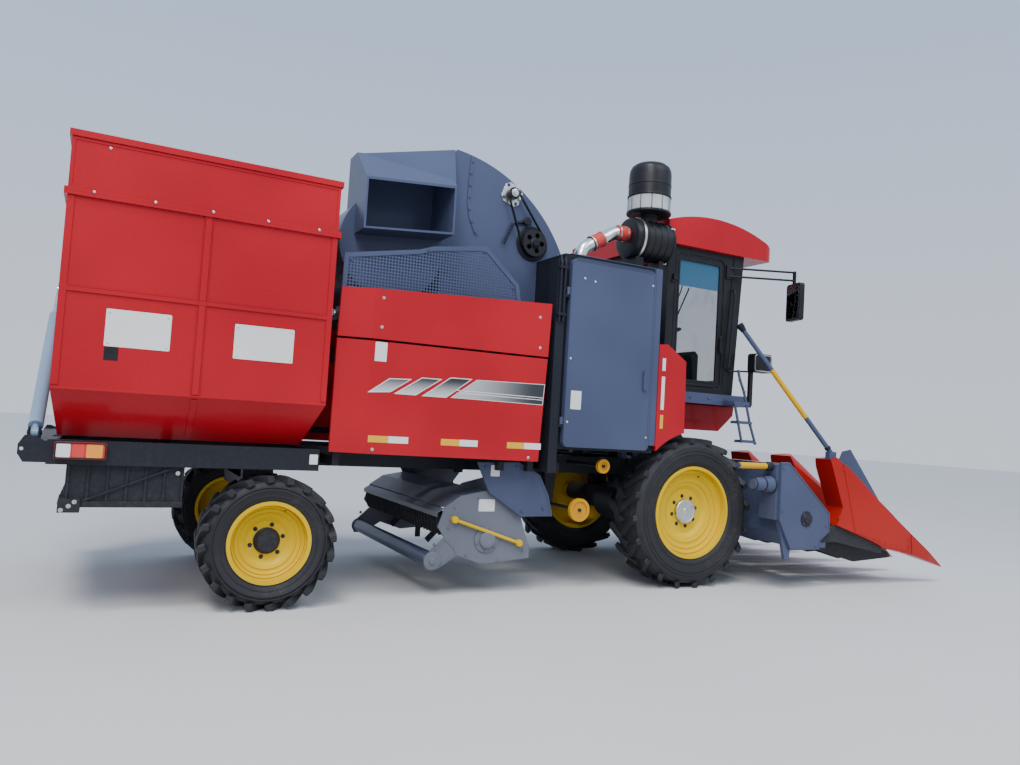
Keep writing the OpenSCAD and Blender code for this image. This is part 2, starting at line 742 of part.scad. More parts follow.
module belt_drive() color(black) ahead() {
  difference() {
    union() {
      for (p = [[belt_upper, upper_pulley_r], [belt_lower, lower_pulley_r]]) {
        cross_rod(p[0].x, p[0].y, p[1], -hood_y - 60, -hood_y - 20);
        cross_rod(p[0].x, p[0].y, 25, -hood_y - 70, -hood_y - fit);
      }
      strap(belt_upper, belt_lower, upper_pulley_r, lower_pulley_r, -hood_y - 52, 24);
    }
    for (i = [0 : 4]) translate([belt_lower.x, -hood_y, belt_lower.y]) rotate([0, i * 72, 0])
      translate([68, 0, 0]) rotate([90, 0, 0]) cylinder(r = 22, h = 80);
  }
}

// Air intake

filter_y = -800;
filter_z = 3080;

module air_intake() color(black) ahead() {
  along_rod(filter_y, filter_z, 182, 2990, 3420);
  for (x = [3030 : 70 : 3390]) along_rod(filter_y, filter_z, 190, x, x + 18);
  // Neck, bowl and domed cap of the pre-cleaner
  translate([3215, filter_y, filter_z]) rotate_extrude() polygon([
    [0, 150], [78, 150], [78, 236], [203, 240], [203, 262], [192, 266], [192, 392], [200, 396], [200, 408],
    [193, 412], [193, 610], [181, 665], [150, 700], [90, 716], [0, 719]
  ]);
  block([3030, filter_y - 100, case_top + fit], [3110, filter_y + 100, filter_z - 150]);
  along_rod(filter_y, filter_z + 30, 60, 2880, 2991);
  rod([2890, filter_y, filter_z + 30], [2500, filter_y, 2900], 60);
  translate([2510, filter_y, case_top + fit]) cylinder(r = 60, h = 160);
}

// Cab

cab_wall = 50;
cab_lean = 80;
pane_t = 6;
door_lo_x = 3560;
door_hi_x = 4170;
cab_door_z = cab_floor_z + 60;
head_z = cab_top_z - 60;
side_pane_z = 1900;
roof_y = cab_y + 50;
roof_corner = 150;
// The roof's top follows an arc from back to front, and swells by roof_crown towards its middle
roof_arc_r = 1745;
roof_arc_x = 3992;
roof_crown = 42;
cab_pin_x = door_lo_x - 12;
cab_pin_y = cab_y + 12;
cab_hinge_z = [cab_floor_z + 220, cab_top_z - 330];

module cab_profile() {
  polygon([
    [cab_rear, cab_floor_z], [cab_rear, cab_top_z], [cab_front + cab_lean, cab_top_z], [cab_front, cab_floor_z]
  ]);
}

module cab_frame() color(black) ahead() {
  difference() {
    translate([0, cab_y, 0]) rotate([90, 0, 0]) linear_extrude(2 * cab_y) cab_profile();
    block(
      [cab_rear + cab_wall, -cab_y + cab_wall, cab_floor_z + 40], [cab_front - 60, cab_y - cab_wall, cab_top_z + 1]
    );
    soft_bar([-cab_y + 90, 2250], [cab_y - 90, head_z], 60, cab_rear - 1, 61);
    soft_bar([-cab_y + 70, cab_floor_z + 150], [cab_y - 70, head_z], 60, cab_front - 70, 170);
    soft_plate([door_lo_x, side_pane_z], [door_hi_x, head_z], 60, cab_y - 60, 61);
    soft_plate([door_lo_x, cab_door_z], [door_hi_x, head_z], 60, -cab_y - 1, 61);
  }
  for (z = cab_hinge_z) {
    block([cab_pin_x - 24, -cab_y - 16, z - 22], [cab_pin_x + 6, -cab_y + 1, z - 2]);
    translate([cab_pin_x, -cab_pin_y, z - 3]) cylinder(r = 6, h = 60);
  }
}

// Outline of the roof seen from above, round at its front corners
module roof_plan() {
  union() {
    translate([3300, -roof_y]) square([4790 - roof_corner - 3300, 2 * roof_y]);
    translate([3300, -roof_y + roof_corner]) square([4790 - 3300, 2 * (roof_y - roof_corner)]);
    for (side = [-1, 1]) translate([4790 - roof_corner, side * (roof_y - roof_corner)]) circle(r = roof_corner);
  }
}

module cab_roof() color(body_red) ahead() intersection() {
  side_plate([
    [3430, cab_top_z + fit], [3430, roof_top_z + 20], [4715, roof_top_z + 20], [4715, 3312], [4755, 3262],
    [4782, 3215], [4790, 3165], [4765, 3128], [4720, 3114], [4420, cab_top_z + fit]
  ], -roof_y, 2 * roof_y);
  translate([roof_arc_x, 0, roof_top_z - roof_crown - roof_arc_r]) rotate([90, 0, 0]) {
    rotate_extrude($fn = fine) polygon([
      for (k = [-4 : 4]) [roof_arc_r + roof_crown * (1 - k * k / 16), k / 4 * (roof_y + 5)],
      [0, roof_y + 5], [0, -roof_y - 5]
    ]);
  }
  translate([0, 0, 3000]) linear_extrude(600) roof_plan();
}

module cab_glass() color(glass_tint) ahead() {
  soft_bar([-cab_y + 90 + fit, 2250 + fit], [cab_y - 90 - fit, head_z - fit], 60, cab_rear + 12, pane_t);
  soft_plate([door_lo_x + fit, side_pane_z + fit], [door_hi_x - fit, head_z - fit], 60, cab_y - 24, pane_t);
  soft_bar(
    [-cab_y + 70 + fit, cab_floor_z + 150 + fit], [cab_y - 70 - fit, head_z - fit], 60, cab_front - 30, pane_t
  );
}

module cab_door() color(black) ahead() {
  difference() {
    soft_plate([door_lo_x + 5, cab_door_z + 5], [door_hi_x - 5, head_z - 5], 55, -cab_y + 4, 30);
    soft_plate([door_lo_x + 50, cab_door_z + 50], [door_hi_x - 50, head_z - 50], 40, -cab_y - 1, 61);
  }
  difference() {
    for (z = cab_hinge_z) {
      translate([cab_pin_x, -cab_pin_y, z]) cylinder(r = 11, h = 55);
      block([cab_pin_x, -cab_pin_y - 4, z], [door_lo_x + 30, -cab_pin_y + 4, z + 55]);
      block([door_lo_x + 14, -cab_pin_y - 4, z], [door_lo_x + 30, -cab_y + 5, z + 55]);
    }
    for (z = cab_hinge_z) translate([cab_pin_x, -cab_pin_y, z - 1]) cylinder(r = 6 + run, h = 57);
  }
  // Pull handle
  block([door_hi_x - 40, -cab_y - 24, 2150], [door_hi_x - 18, -cab_y + 5, 2290]);
}

module cab_door_glass() color(glass_tint) ahead() {
  soft_plate(
    [door_lo_x + 50 + fit, cab_door_z + 50 + fit], [door_hi_x - 50 - fit, head_z - 50 - fit], 40, -cab_y + 16, pane_t
  );
}

module cab_seat() color(black) ahead() {
  block([3600, -220, cab_floor_z + 40 + fit], [3980, 220, cab_floor_z + 400]);
  block([3600, -220, cab_floor_z + 399], [3700, 220, cab_floor_z + 900]);
  difference() {
    rod([4190, 0, cab_floor_z], [4100, 0, cab_floor_z + 650], 40);
    block([4000, -100, cab_floor_z - 100], [4300, 100, cab_floor_z + 40 + fit]);
  }
  translate([4092, 0, cab_floor_z + 640]) rotate([0, -20, 0]) cylinder(r = 190, h = 30);
}

// Platform, steps and hand rail

deck_low = cab_floor_z - 100;
deck_front = 4480;
step_y = 1050;

// Points of the hand rail beside the steps, in X and Z
rail_line = [[4148, 1978], [4178, 1887], [4234, 1779], [4328, 1475], [4400, 1305]];
stile_r = 12;

module platform() color(dark_blue) ahead() {
  difference() {
    block([3460, -900, deck_low], [deck_front, 900, cab_floor_z - fit]);
    block([3540, -820, deck_low - 1], [deck_front - 80, 820, cab_floor_z - 30]);
  }
  both() for (x = [3480, 3800])
    block([x, rail_y - rail_w, rail_top + fit], [x + 60, rail_y, cab_floor_z - 20]);
  // Steps at the right-hand front corner
  for (i = [0 : len(rail_line) - 2]) {
    p = rail_line[i];
    q = rail_line[i + 1];
    rod([p.x, -step_y, p.y], [q.x, -step_y, q.y], stile_r);
    translate([q.x, -step_y, q.y]) sphere(r = stile_r + 3);
  }
  rod([4125, -step_y, deck_low + 20], [4232, -step_y, 1305], stile_r);
  block([4110, -step_y - 12, deck_low + 10], [4300, -899, deck_low + 40]);
  // Each row: rear end and height of a tread
  for (t = [[4175, 1480], [4232, 1305]]) block([t.x - 8, -step_y - 14, t.y], [t.x + 165, -step_y + 90, t.y + 22]);
}

mirror_y = 1030;
mirror_x = 4850;

// Mirrors on their arms, and the lamps on the deck's front corners
module mirrors() color(black) ahead() both() {
  block([4185, cab_y + fit, 2880], [4260, cab_y + 16, 3010]);
  for (z = [2905, 2985]) rod([4222, cab_y + 13, z], [mirror_x, mirror_y, z + 14], 10);
  block([mirror_x - 12, mirror_y - 12, 2700], [mirror_x + 12, mirror_y + 12, 3010]);
  translate([mirror_x, mirror_y + 20, 0]) rotate([0, 0, 15]) soft_bar([-115, 2520], [115, 2885], 30, -25, 50);
  block([4420, 900 + fit, deck_low + 15], [4460, 930, 2000]);
  soft_plate([4400, 1985], [4630, 2165], 30, 910, 85);
}

// Bin

lug_t = 16;

module bin_section(inset, low) {
  polygon([
    [-bin_y + inset, bin_top_z + 100], [-bin_y + inset, bin_fold_z], [-bin_floor_y + inset / 2, low],
    [bin_floor_y - inset / 2, low], [bin_y - inset, bin_fold_z], [bin_y - inset, bin_top_z + 100]
  ]);
}

module bin_profile(inset, low) {
  polygon([
    [-bin_rear + inset, bin_top_z + 100], [-bin_rear + inset, bin_fold_z], [-bin_rear + 50 + inset, low],
    [bin_front - 100 - inset, low], [bin_front - inset, bin_fold_z], [bin_front - inset, bin_top_z + 100]
  ]);
}

module bin_form(inset, low) {
  intersection() {
    translate([-bin_rear - 100, 0, 0]) rotate([90, 0, 90])
      linear_extrude(bin_rear + bin_front + 200) bin_section(inset, low);
    translate([0, bin_y + 50, 0]) rotate([90, 0, 0]) linear_extrude(2 * bin_y + 100) bin_profile(inset, low);
  }
}

// Height of the sloping side wall's outer face at a distance y from the centre line
function slope_z(y) = bin_floor_z + (y - bin_floor_y) * (bin_fold_z - bin_floor_z) / (bin_y - bin_floor_y);

// A flange around the walls
module bin_ring(low, high, reach) difference() {
  block([-bin_rear - reach, -bin_y - reach, low], [bin_front + reach, bin_y + reach, high]);
  block([-bin_rear + 1, -bin_y + 1, low - 1], [bin_front - 1, bin_y - 1, high + 1]);
}

module bin() color(body_red) placed() {
  difference() {
    bin_form(0, bin_floor_z);
    bin_form(bin_wall, bin_floor_z + bin_wall);
    block([-bin_rear - 10, -bin_y - 10, bin_seam_z], [bin_front + 10, bin_y + 10, bin_top_z + 200]);
  }
  // Hinge lugs with their pins
  for (x = tip_lugs) {
    long_bar([
      [tip_y - 80, slope_z(tip_y - 80) + 2], [tip_y + 60, slope_z(tip_y + 60) + 2], [tip_y + 34, tip_z + 6],
      [tip_y + 16, tip_z - 26], [tip_y - 16, tip_z - 26]
    ], x, lug_t);
    along_rod(tip_y, tip_z, pin_r, x, x + lug_t + lug_gap + stand_t + 6);
  }
  // Boss beside the rod's eye
  along_rod(tip_eye.y, tip_eye.z, 40, tip_eye.x + 30, -bin_rear + 2);
  bin_ring(bin_seam_z - 22, bin_seam_z, 18);
  // Stiffening ribs on the side walls
  both() {
    block([-570, bin_y - 1, bin_fold_z + 10], [-530, bin_y + 7, bin_seam_z - 21]);
    block([-bin_rear + 20, bin_y - 1, 1985], [bin_front - 20, bin_y + 7, 2015]);
  }
}

module bin_board() color(body_red) placed() {
  difference() {
    intersection() {
      bin_form(0, bin_floor_z);
      block([-bin_rear - 10, -bin_y - 10, bin_seam_z + fit], [bin_front + 10, bin_y + 10, bin_top_z]);
    }
    bin_form(bin_wall, bin_floor_z + bin_wall);
  }
  bin_ring(bin_seam_z + fit, bin_seam_z + 22, 18);
  bin_ring(bin_top_z - 40, bin_top_z, 14);
}

// Tipping cylinder behind the bin's rear wall
tip_foot = [-bin_rear - 70, -900, 1120];
tip_eye = [-bin_rear - 70, 430, 2170];
tip_len = norm(tip_eye - tip_foot);
tip_dir = (tip_eye - tip_foot) / tip_len;
tip_bore_r = 25;

module tip_barrel() color(cylinder_blue) placed() difference() {
  union() {
    rod(tip_foot + 64 * tip_dir, tip_foot + 1320 * tip_dir, 42);
    rod(tip_foot, tip_foot + 80 * tip_dir, 18);
    along_rod(tip_foot.y, tip_foot.z, 32, tip_foot.x - 20, tip_foot.x + 20);
  }
  rod(tip_foot + 90 * tip_dir, tip_foot + 1400 * tip_dir, tip_bore_r + run);
  along_rod(tip_foot.y, tip_foot.z, pin_r + run, tip_foot.x - 60, tip_foot.x + 60);
}

module tip_rod() color(rod_silver) placed() {
  rod(tip_foot + 200 * tip_dir, tip_eye - 20 * tip_dir, tip_bore_r);
  along_rod(tip_eye.y, tip_eye.z, 38, tip_eye.x - 20, tip_eye.x + 20);
}

// Straw chopper

chop_x = 1690;
chop_z = 430;
gauge_x = 1240;
gauge_z = 275;
stub_r = 20;
plate_t = 12;

module chopper_housing() color(plate_grey) placed() {
  difference() {
    union() {
      both() side_plate([
        [1660, 810], [1850, 775], [1955, 710], [2005, 550], [2080, 370], [2080, 275], [1660, 240], [1450, 310],
        [1290, 210], [1190, 210], [1170, 300], [1330, 450], [1270, 530], [1320, 680], [1450, 770]
      ], chop_y - plate_t, plate_t);
      side_plate([
        [1320, 680], [1450, 770], [1660, 810], [1850, 775], [1955, 710], [1948, 702], [1846, 767], [1661, 802],
        [1454, 763], [1326, 675]
      ], -chop_y, 2 * chop_y);
      // Arms up to the chassis
      both() side_plate([
        [1840, 778], [1640, 812], [1660, 830], [2020, chop_pin_z + 35], [2070, chop_pin_z + 30],
        [2080, chop_pin_z - 25], [1960, 700], [1946, 702]
      ], chop_arm_y - 20, 20);
      both() cross_rod(chop_pin_x, chop_pin_z, pin_r, chop_arm_y - 46, chop_arm_y);
    }
    cross_rod(chop_x, chop_z, 2 * stub_r + run, -chop_y - 1, chop_y + 1);
    cross_rod(gauge_x, gauge_z, stub_r + run, -chop_y - 1, chop_y + 1);
  }
}

module chopper_rotor() color(frame_grey) placed() {
  cross_rod(chop_x, chop_z, 80, -chop_y + 20, chop_y - 20);
  cross_rod(chop_x, chop_z, 2 * stub_r, -chop_y, chop_y);
  for (i = [0 : 15]) translate([chop_x, -chop_y + 70 + i * (2 * chop_y - 140) / 15, chop_z])
    rotate([0, i * 135, 0]) translate([-25, -6, 70]) cube([50, 12, knife_r - 75]);
}

module gauge_roller() color(dark_blue) placed() {
  cross_rod(gauge_x, gauge_z, gauge_r, -chop_y + 20, chop_y - 20);
  cross_rod(gauge_x, gauge_z, stub_r, -chop_y, chop_y);
}

// Header

auger_x = 4670;
auger_z = 650;
shield_t = 25;
trough_x = 4400;
post_z = 640;
sill_x = 4900;
sill_z = 430;
half_row = [for (i = [-2.5 : 1 : 2.5]) i * row_pitch];
row_list = [for (i = [-2 : 1 : 2]) i * row_pitch];

module header_frame() color(dark_blue) ahead() difference() {
  union() {
    both() side_plate([
      [4330, 1150], [4435, 1155], [4975, 700], [4980, 535], [4870, 455], [4850, 370], [4485, 370], [4330, 640]
    ], header_y - shield_t, shield_t);
    side_plate([
      [trough_x, 1130], [trough_x, 520], [4520, 400], [sill_x + 60, 380], [sill_x + 60, sill_z], [sill_x, sill_z],
      [4526, 420], [trough_x + 15, 527], [trough_x + 15, 1130]
    ], -header_y + shield_t, 2 * (header_y - shield_t));
    // Skids under the end plates
    both() side_plate([
      [4340, post_z - fit], [4420, post_z - fit], [4500, 372], [4496, 300], [4440, 285]
    ], header_y - shield_t - 30, 31);
    // Ears for the lift cylinders' rods
    both() for (y = [lift_y - 34, lift_y + 22])
      side_plate([[trough_x + 1, 640], [trough_x + 1, 530], [lift_eye_x - 30, 500], [lift_eye_x - 30, 560]], y, 12);
    both() cross_rod(lift_eye_x, lift_eye_z, 10, lift_y - 34, lift_y + 34);
  }
  cross_rod(auger_x, auger_z, header_pin_r + run, -header_y - 1, header_y + 1);
  // Mouth of the feeder house
  block([trough_x - 1, -feeder_y + 20, 600], [trough_x + 30, feeder_y - 20, 970]);
}

// Posts behind the trough's ends, with the guards of the drive shafts on the right
module header_posts() color(dark_blue) ahead() {
  both() block([4300, header_y - 220, post_z], [trough_x - fit, header_y - shield_t - fit, 1130]);
  along_rod(-header_y + 90, 1110, 22, 3900, 4301);
  translate([4080, -header_y + 90, 950]) rotate([0, 90, 0]) cylinder(r1 = 45, r2 = 80, h = 222);
}

// Side outline of a snout in X and Z
snout_line = [
  [4960, 1200], [5060, 1220], [5225, 1135], [5955, 625], [6160, 495], [snout_tip, 150], [6175, 290], [5750, 370],
  [5595, 430], [5080, 590], [5150, 755]
];
snout_half = 150;
ridge = [5060, 1220];
ridge_slope = atan2(ridge.y - 155, snout_tip - ridge.x);

// A long bar with a round top that lies along the ridge of a snout
module ridge_form(y) {
  translate([ridge.x, y, ridge.y]) rotate([0, ridge_slope, 0]) {
    translate([-400, 0, -snout_half]) rotate([0, 90, 0]) cylinder(r = snout_half, h = 3000);
    translate([-400, -snout_half, -1800]) cube([3000, 2 * snout_half, 1800 - snout_half]);
  }
}

module snouts() color(snout_red) ahead() intersection() {
  union() for (y = half_row) intersection() {
    side_plate(snout_line, y - 200, 400);
    translate([0, y, 0]) linear_extrude(2000) polygon([
      [4900, -snout_half], [4900, snout_half], [5900, snout_half - 30], [snout_tip, 15], [snout_tip, -15],
      [5900, -snout_half + 30]
    ]);
    ridge_form(y);
  }
  block([4800, -header_y, 0], [snout_tip + 10, header_y, 2000]);
}

// Upright plates on the inner sides of the outer snouts
module divider_plates() color(dark_blue) ahead() both()
  translate([4900, half_row[5] - snout_half - fit, 0]) rotate([0, 0, atan2(30, 1000)]) translate([-4900, 0, 0])
    side_plate([
      [5291, 860], [5291, 1179], [5342, 1277], [5454, 1300], [5972, 703], [6007, 613], [6007, 470]
    ], -6, 6);

chain_y = 90;
chain_slope = atan2(270, 1195);

module row_units() color(frame_grey) ahead() {
  for (y = row_list) for (side = [-1, 1]) {
    side_plate([
      [sill_x, sill_z + fit], [sill_x + 5, 560], [6100, 290], [6150, 230], [5600, 200], [sill_x + 60 + fit, 360],
      [sill_x + 60 + fit, sill_z + fit]
    ], y + side * chain_y - 15, 30);
    // Stalk roll
    translate([sill_x + 63 + fit, y + side * 36, 400]) rotate([0, 98, 0]) rotate_extrude()
      polygon([[0, 0], [28, 0], [28, 1000], [8, 1130], [0, 1130]]);
  }
  // Arms under the snouts
  for (y = half_row) side_plate([
    [sill_x, sill_z + fit], [4980, 560], [5080, 590 - fit], [5595, 430 - fit], [5750, 370 - fit], [5750, 310],
    [5100, sill_z + fit]
  ], max(-header_y + 5, min(header_y - 45, y - 20)), 40);
}

// Chains with fingers that draw the stalks in, lying on the row units
finger_pitch = 145;

module gather_chains() color(plate_grey) ahead() for (y = row_list) for (side = [-1, 1])
  translate([sill_x + 5, y + side * chain_y, 560]) rotate([0, chain_slope, 0]) {
    block([20, -13, fit], [1180, 13, 22]);
    for (i = [0 : 7]) translate([60 + i * finger_pitch + (side + 1) * finger_pitch / 4, 0, 0])
      block([0, min(-side * 46, -side * 12), 6], [16, max(-side * 46, -side * 12), 32]);
  }

flight_t = 8;

module header_auger() color(plate_grey) ahead() {
  cross_rod(auger_x, auger_z, auger_tube_r, -header_y + 40, header_y - 40);
  cross_rod(auger_x, auger_z, header_pin_r, -header_y + 2, header_y - 2);
  for (y = [-1300 : 260 : -300]) cross_rod(auger_x, auger_z, auger_r, y, y + flight_t);
  for (y = [300 : 260 : 1300]) cross_rod(auger_x, auger_z, auger_r, y, y + flight_t);
}

module feeder_house() color(dark_blue) ahead() {
  difference() {
    side_plate([
      [3900, 1230], [3900, 1420], [4060, 1420], [trough_x - fit, 1000], [trough_x - fit, 560], [4330, 560]
    ], -feeder_y, 2 * feeder_y);
    side_plate([
      [3880, 1246], [3880, 1404], [4052, 1404], [4410, 975], [4410, 585], [4338, 585]
    ], -feeder_y + 12, 2 * feeder_y - 24);
  }
  both() cross_rod(header_pin_x, header_pin_z, header_pin_r, feeder_y - 11, ear_y + 24);
}

bar_foot = [5010, header_y - 45, 1262];
bar_top = [4260, 950, 2400];

module push_bars() color(dark_blue) ahead() both() {
  side_plate([[4966, 1201.2 + fit], [5056, 1219.2 + fit], [5056, 1270], [4966, 1270]], header_y - 70, 50);
  rod(bar_foot, bar_top, 22);
}

// Header lift cylinders, between the front axle and the header's back
lift_y = 420;
lift_foot_x = 3800;
lift_foot_z = 640;
lift_eye_x = lift_foot_x + 540;
lift_eye_z = 530;
lift_foot = [lift_foot_x, lift_y, lift_foot_z];
lift_eye = [lift_eye_x, lift_y, lift_eye_z];
lift_len = norm(lift_eye - lift_foot);
lift_dir = (lift_eye - lift_foot) / lift_len;
lift_bore_r = 20;

module lift_barrels() color(frame_grey) ahead() both() {
  difference() {
    union() {
      rod(lift_foot + 48 * lift_dir, lift_foot + (lift_len - 151) * lift_dir, 36);
      rod(lift_foot, lift_foot + 60 * lift_dir, 16);
      cross_rod(lift_foot_x, lift_foot_z, 28, lift_y - 18, lift_y + 18);
    }
    rod(lift_foot + 70 * lift_dir, lift_foot + lift_len * lift_dir, lift_bore_r + run);
    cross_rod(lift_foot_x, lift_foot_z, pin_r + run, lift_y - 40, lift_y + 40);
  }
}

module lift_rods() color(rod_silver) ahead() both() difference() {
  union() {
    rod(lift_foot + 120 * lift_dir, lift_eye - 20 * lift_dir, lift_bore_r);
    cross_rod(lift_eye_x, lift_eye_z, 30, lift_y - 18, lift_y + 18);
  }
  cross_rod(lift_eye_x, lift_eye_z, 16, lift_y - 40, lift_y + 40);
}

main_rails();
bin_frame();
cross_beams();
tail_guard();
tail_lamps();
engine();
front_axle();
rear_axle();
knuckle_right();
knuckle_left();
tyre_front_right();
rim_front_right();
tyre_front_left();
rim_front_left();
tyre_rear_right();
rim_rear_right();
tyre_rear_left();
rim_rear_left();
side_panels();
body_guards();
side_frames();
cabinet();
fenders();
door_right();
door_left();
elevator_leg();
elevator_head();
blower();
belt_drive();
idler_pulleys();
air_intake();
cab_frame();
cab_roof();
cab_glass();
cab_door();
cab_door_glass();
cab_seat();
platform();
mirrors();
bin();
bin_board();
tip_barrel();
tip_rod();
chopper_housing();
chopper_rotor();
gauge_roller();
header_frame();
header_posts();
snouts();
divider_plates();
row_units();
gather_chains();
header_auger();
feeder_house();
push_bars();
lift_barrels();
lift_rods();
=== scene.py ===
"""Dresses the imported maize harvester: paint, rubber, glass and the small parts that the solids leave out.

Lengths are metres. Along X they are counted from the rear axle, as in part.scad, and at() moves them into the
row. Outlines on a side face are in X and Z. The face is given by its side and its distance from the middle.
"""

import json
import math

import bmesh
import bpy
from mathutils import Matrix, Vector


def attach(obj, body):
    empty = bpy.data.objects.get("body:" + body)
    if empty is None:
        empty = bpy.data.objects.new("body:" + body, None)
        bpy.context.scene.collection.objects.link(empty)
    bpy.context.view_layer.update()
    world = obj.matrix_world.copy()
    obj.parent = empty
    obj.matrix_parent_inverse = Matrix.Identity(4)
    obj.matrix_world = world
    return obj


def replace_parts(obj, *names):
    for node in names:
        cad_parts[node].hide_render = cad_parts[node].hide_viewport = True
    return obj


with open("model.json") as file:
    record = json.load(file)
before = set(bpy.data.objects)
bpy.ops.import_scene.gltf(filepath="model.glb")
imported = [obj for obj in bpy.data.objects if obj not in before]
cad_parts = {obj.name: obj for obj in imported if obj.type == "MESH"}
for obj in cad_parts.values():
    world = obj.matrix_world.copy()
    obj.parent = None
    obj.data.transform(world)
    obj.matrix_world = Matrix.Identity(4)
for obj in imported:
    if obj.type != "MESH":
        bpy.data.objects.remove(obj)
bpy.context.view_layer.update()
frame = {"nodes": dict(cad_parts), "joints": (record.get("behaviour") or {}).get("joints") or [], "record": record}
JOINTS = {joint["name"]: joint for joint in frame["joints"]}
AXLE_X = JOINTS["steer_right"]["pos_m"][0]
FRONT_AXLE_X = JOINTS["front_right_wheel_spin"]["pos_m"][0] - AXLE_X


def at(x, y, z):
    """A point given from the rear axle, in the row frame."""
    return Vector((x + AXLE_X, y, z))


def link(name, data):
    """A new object with this data, in the scene."""
    made = bpy.data.objects.new(name, data)
    bpy.context.scene.collection.objects.link(made)
    return made


# Camera, at the photograph's place: found from the vanishing points of the bin, panels and rails

IMAGE_WIDTH = 1020
FOCAL_PIXELS = 778.65
CAMERA_PLACE = at(-1.069, -6.49, 1.346)
CAMERA_YAW = math.radians(27.508)
CAMERA_PITCH = math.radians(3.0585)
CAMERA_ROLL = math.radians(3.4708)


def add_camera():
    data = bpy.data.cameras.new("camera")
    data.sensor_width = 36
    data.lens = FOCAL_PIXELS / IMAGE_WIDTH * data.sensor_width
    forward = Vector((
        math.cos(CAMERA_PITCH) * math.sin(CAMERA_YAW),
        math.cos(CAMERA_PITCH) * math.cos(CAMERA_YAW),
        math.sin(CAMERA_PITCH),
    ))
    level_right = Vector((math.cos(CAMERA_YAW), -math.sin(CAMERA_YAW), 0))
    level_up = level_right.cross(forward)
    right = math.cos(CAMERA_ROLL) * level_right + math.sin(CAMERA_ROLL) * level_up
    up = -math.sin(CAMERA_ROLL) * level_right + math.cos(CAMERA_ROLL) * level_up
    camera = link("camera", data)
    turned = Matrix((right, up, -forward)).transposed().to_4x4()
    camera.matrix_world = Matrix.Translation(CAMERA_PLACE) @ turned
    bpy.context.scene.camera = camera


# Colours, linear

RED = (0.40, 0.006, 0.014)
SNOUT_RED = (0.40, 0.008, 0.003)
SLATE = (0.058, 0.072, 0.132)
FRAME_DARK = (0.012, 0.014, 0.021)
PLATE_GREY = (0.130, 0.142, 0.178)
YELLOW = (0.66, 0.42, 0.001)
ORANGE = (0.58, 0.27, 0.004)
BAND = (0.60, 0.32, 0.002)
PALE_BLUE = (0.22, 0.32, 0.44)
RUBBER = (0.009, 0.009, 0.012)
BLACK = (0.008, 0.008, 0.010)
DUST = (0.26, 0.22, 0.18)
CHIPPED = (0.20, 0.17, 0.16)
SOIL = (0.13, 0.115, 0.10)


def toned(colour, factor, lift=0.0):
    return tuple(min(1.0, channel * factor + lift) for channel in colour)


# Materials

class Look:
    """The nodes of a new material or the world. An input is a number, a colour or another node's output."""

    def __init__(self, name, world=None, shader="Principled BSDF", coordinates="Object"):
        self.owner = world or bpy.data.materials.new(name)
        self.owner.use_nodes = True
        self.nodes, self.links = self.owner.node_tree.nodes, self.owner.node_tree.links
        self.shader = self.nodes[shader]
        self.place = self.add("TexCoord").outputs[coordinates]

    def add(self, kind, values=None, **settings):
        node = self.nodes.new("ShaderNode" + kind)
        for key, value in settings.items():
            setattr(node, key, value)
        self.feed(node, values or {})
        return node

    def feed(self, node, values):
        for key, value in values.items():
            socket = node.inputs[key]
            if isinstance(value, bpy.types.NodeSocket):
                self.links.new(value, socket)
            elif value is not None:
                socket.default_value = (*value, 1.0) if socket.type == "RGBA" else value

    def noise(self, scale, detail=4.0, roughness=0.55, place=None):
        values = {"Vector": self.place if place is None else place}
        values.update({"Scale": scale, "Detail": detail, "Roughness": roughness})
        return self.add("TexNoise", values).outputs["Fac"]

    def cells(self, scale, feature="F1"):
        values = {"Vector": self.place, "Scale": scale}
        return self.add("TexVoronoi", values, feature=feature).outputs["Distance"]

    def waves(self, direction, scale, distortion=0.0):
        values = {"Vector": self.place, "Scale": scale, "Distortion": distortion}
        return self.add("TexWave", values, bands_direction=direction).outputs["Fac"]

    def stretched(self, scale):
        return self.add("Mapping", {"Vector": self.place, "Scale": scale}).outputs[0]

    def along(self, axis):
        return self.add("SeparateXYZ", {0: self.place}).outputs[axis]

    def ramp(self, value, low, high, to_low=0.0, to_high=1.0):
        values = {"Value": value, "From Min": low, "From Max": high, "To Min": to_low, "To Max": to_high}
        return self.add("MapRange", values, interpolation_type="SMOOTHSTEP").outputs["Result"]

    def times(self, a, b):
        return self.add("Math", {0: a, 1: b}, operation="MULTIPLY").outputs[0]

    def plus(self, a, b):
        return self.add("Math", {0: a, 1: b}, operation="ADD").outputs[0]

    def blend(self, factor, low, high):
        return self.add("Mix", {"Factor": factor, "A": low, "B": high}, data_type="RGBA").outputs["Result"]

    def bump(self, height, strength, distance, normal=None):
        values = {"Height": height, "Strength": strength, "Distance": distance, "Normal": normal}
        return self.add("Bump", values).outputs["Normal"]

    def rounded_edges(self, radius):
        """The normal with softened edges, and a mask that is 1 along sharp edges."""
        soft = self.add("Bevel", {"Radius": radius}, samples=4).outputs["Normal"]
        true = self.add("NewGeometry").outputs["Normal"]
        dot = self.add("VectorMath", {0: soft, 1: true}, operation="DOT_PRODUCT")
        return soft, self.ramp(dot.outputs["Value"], 0.995, 0.86)

    def surface(self, colour, roughness, normal=None, amounts=None):
        self.feed(self.shader, {"Base Color": colour, "Roughness": roughness, "Normal": normal})
        self.feed(self.shader, amounts or {})
        return self.owner


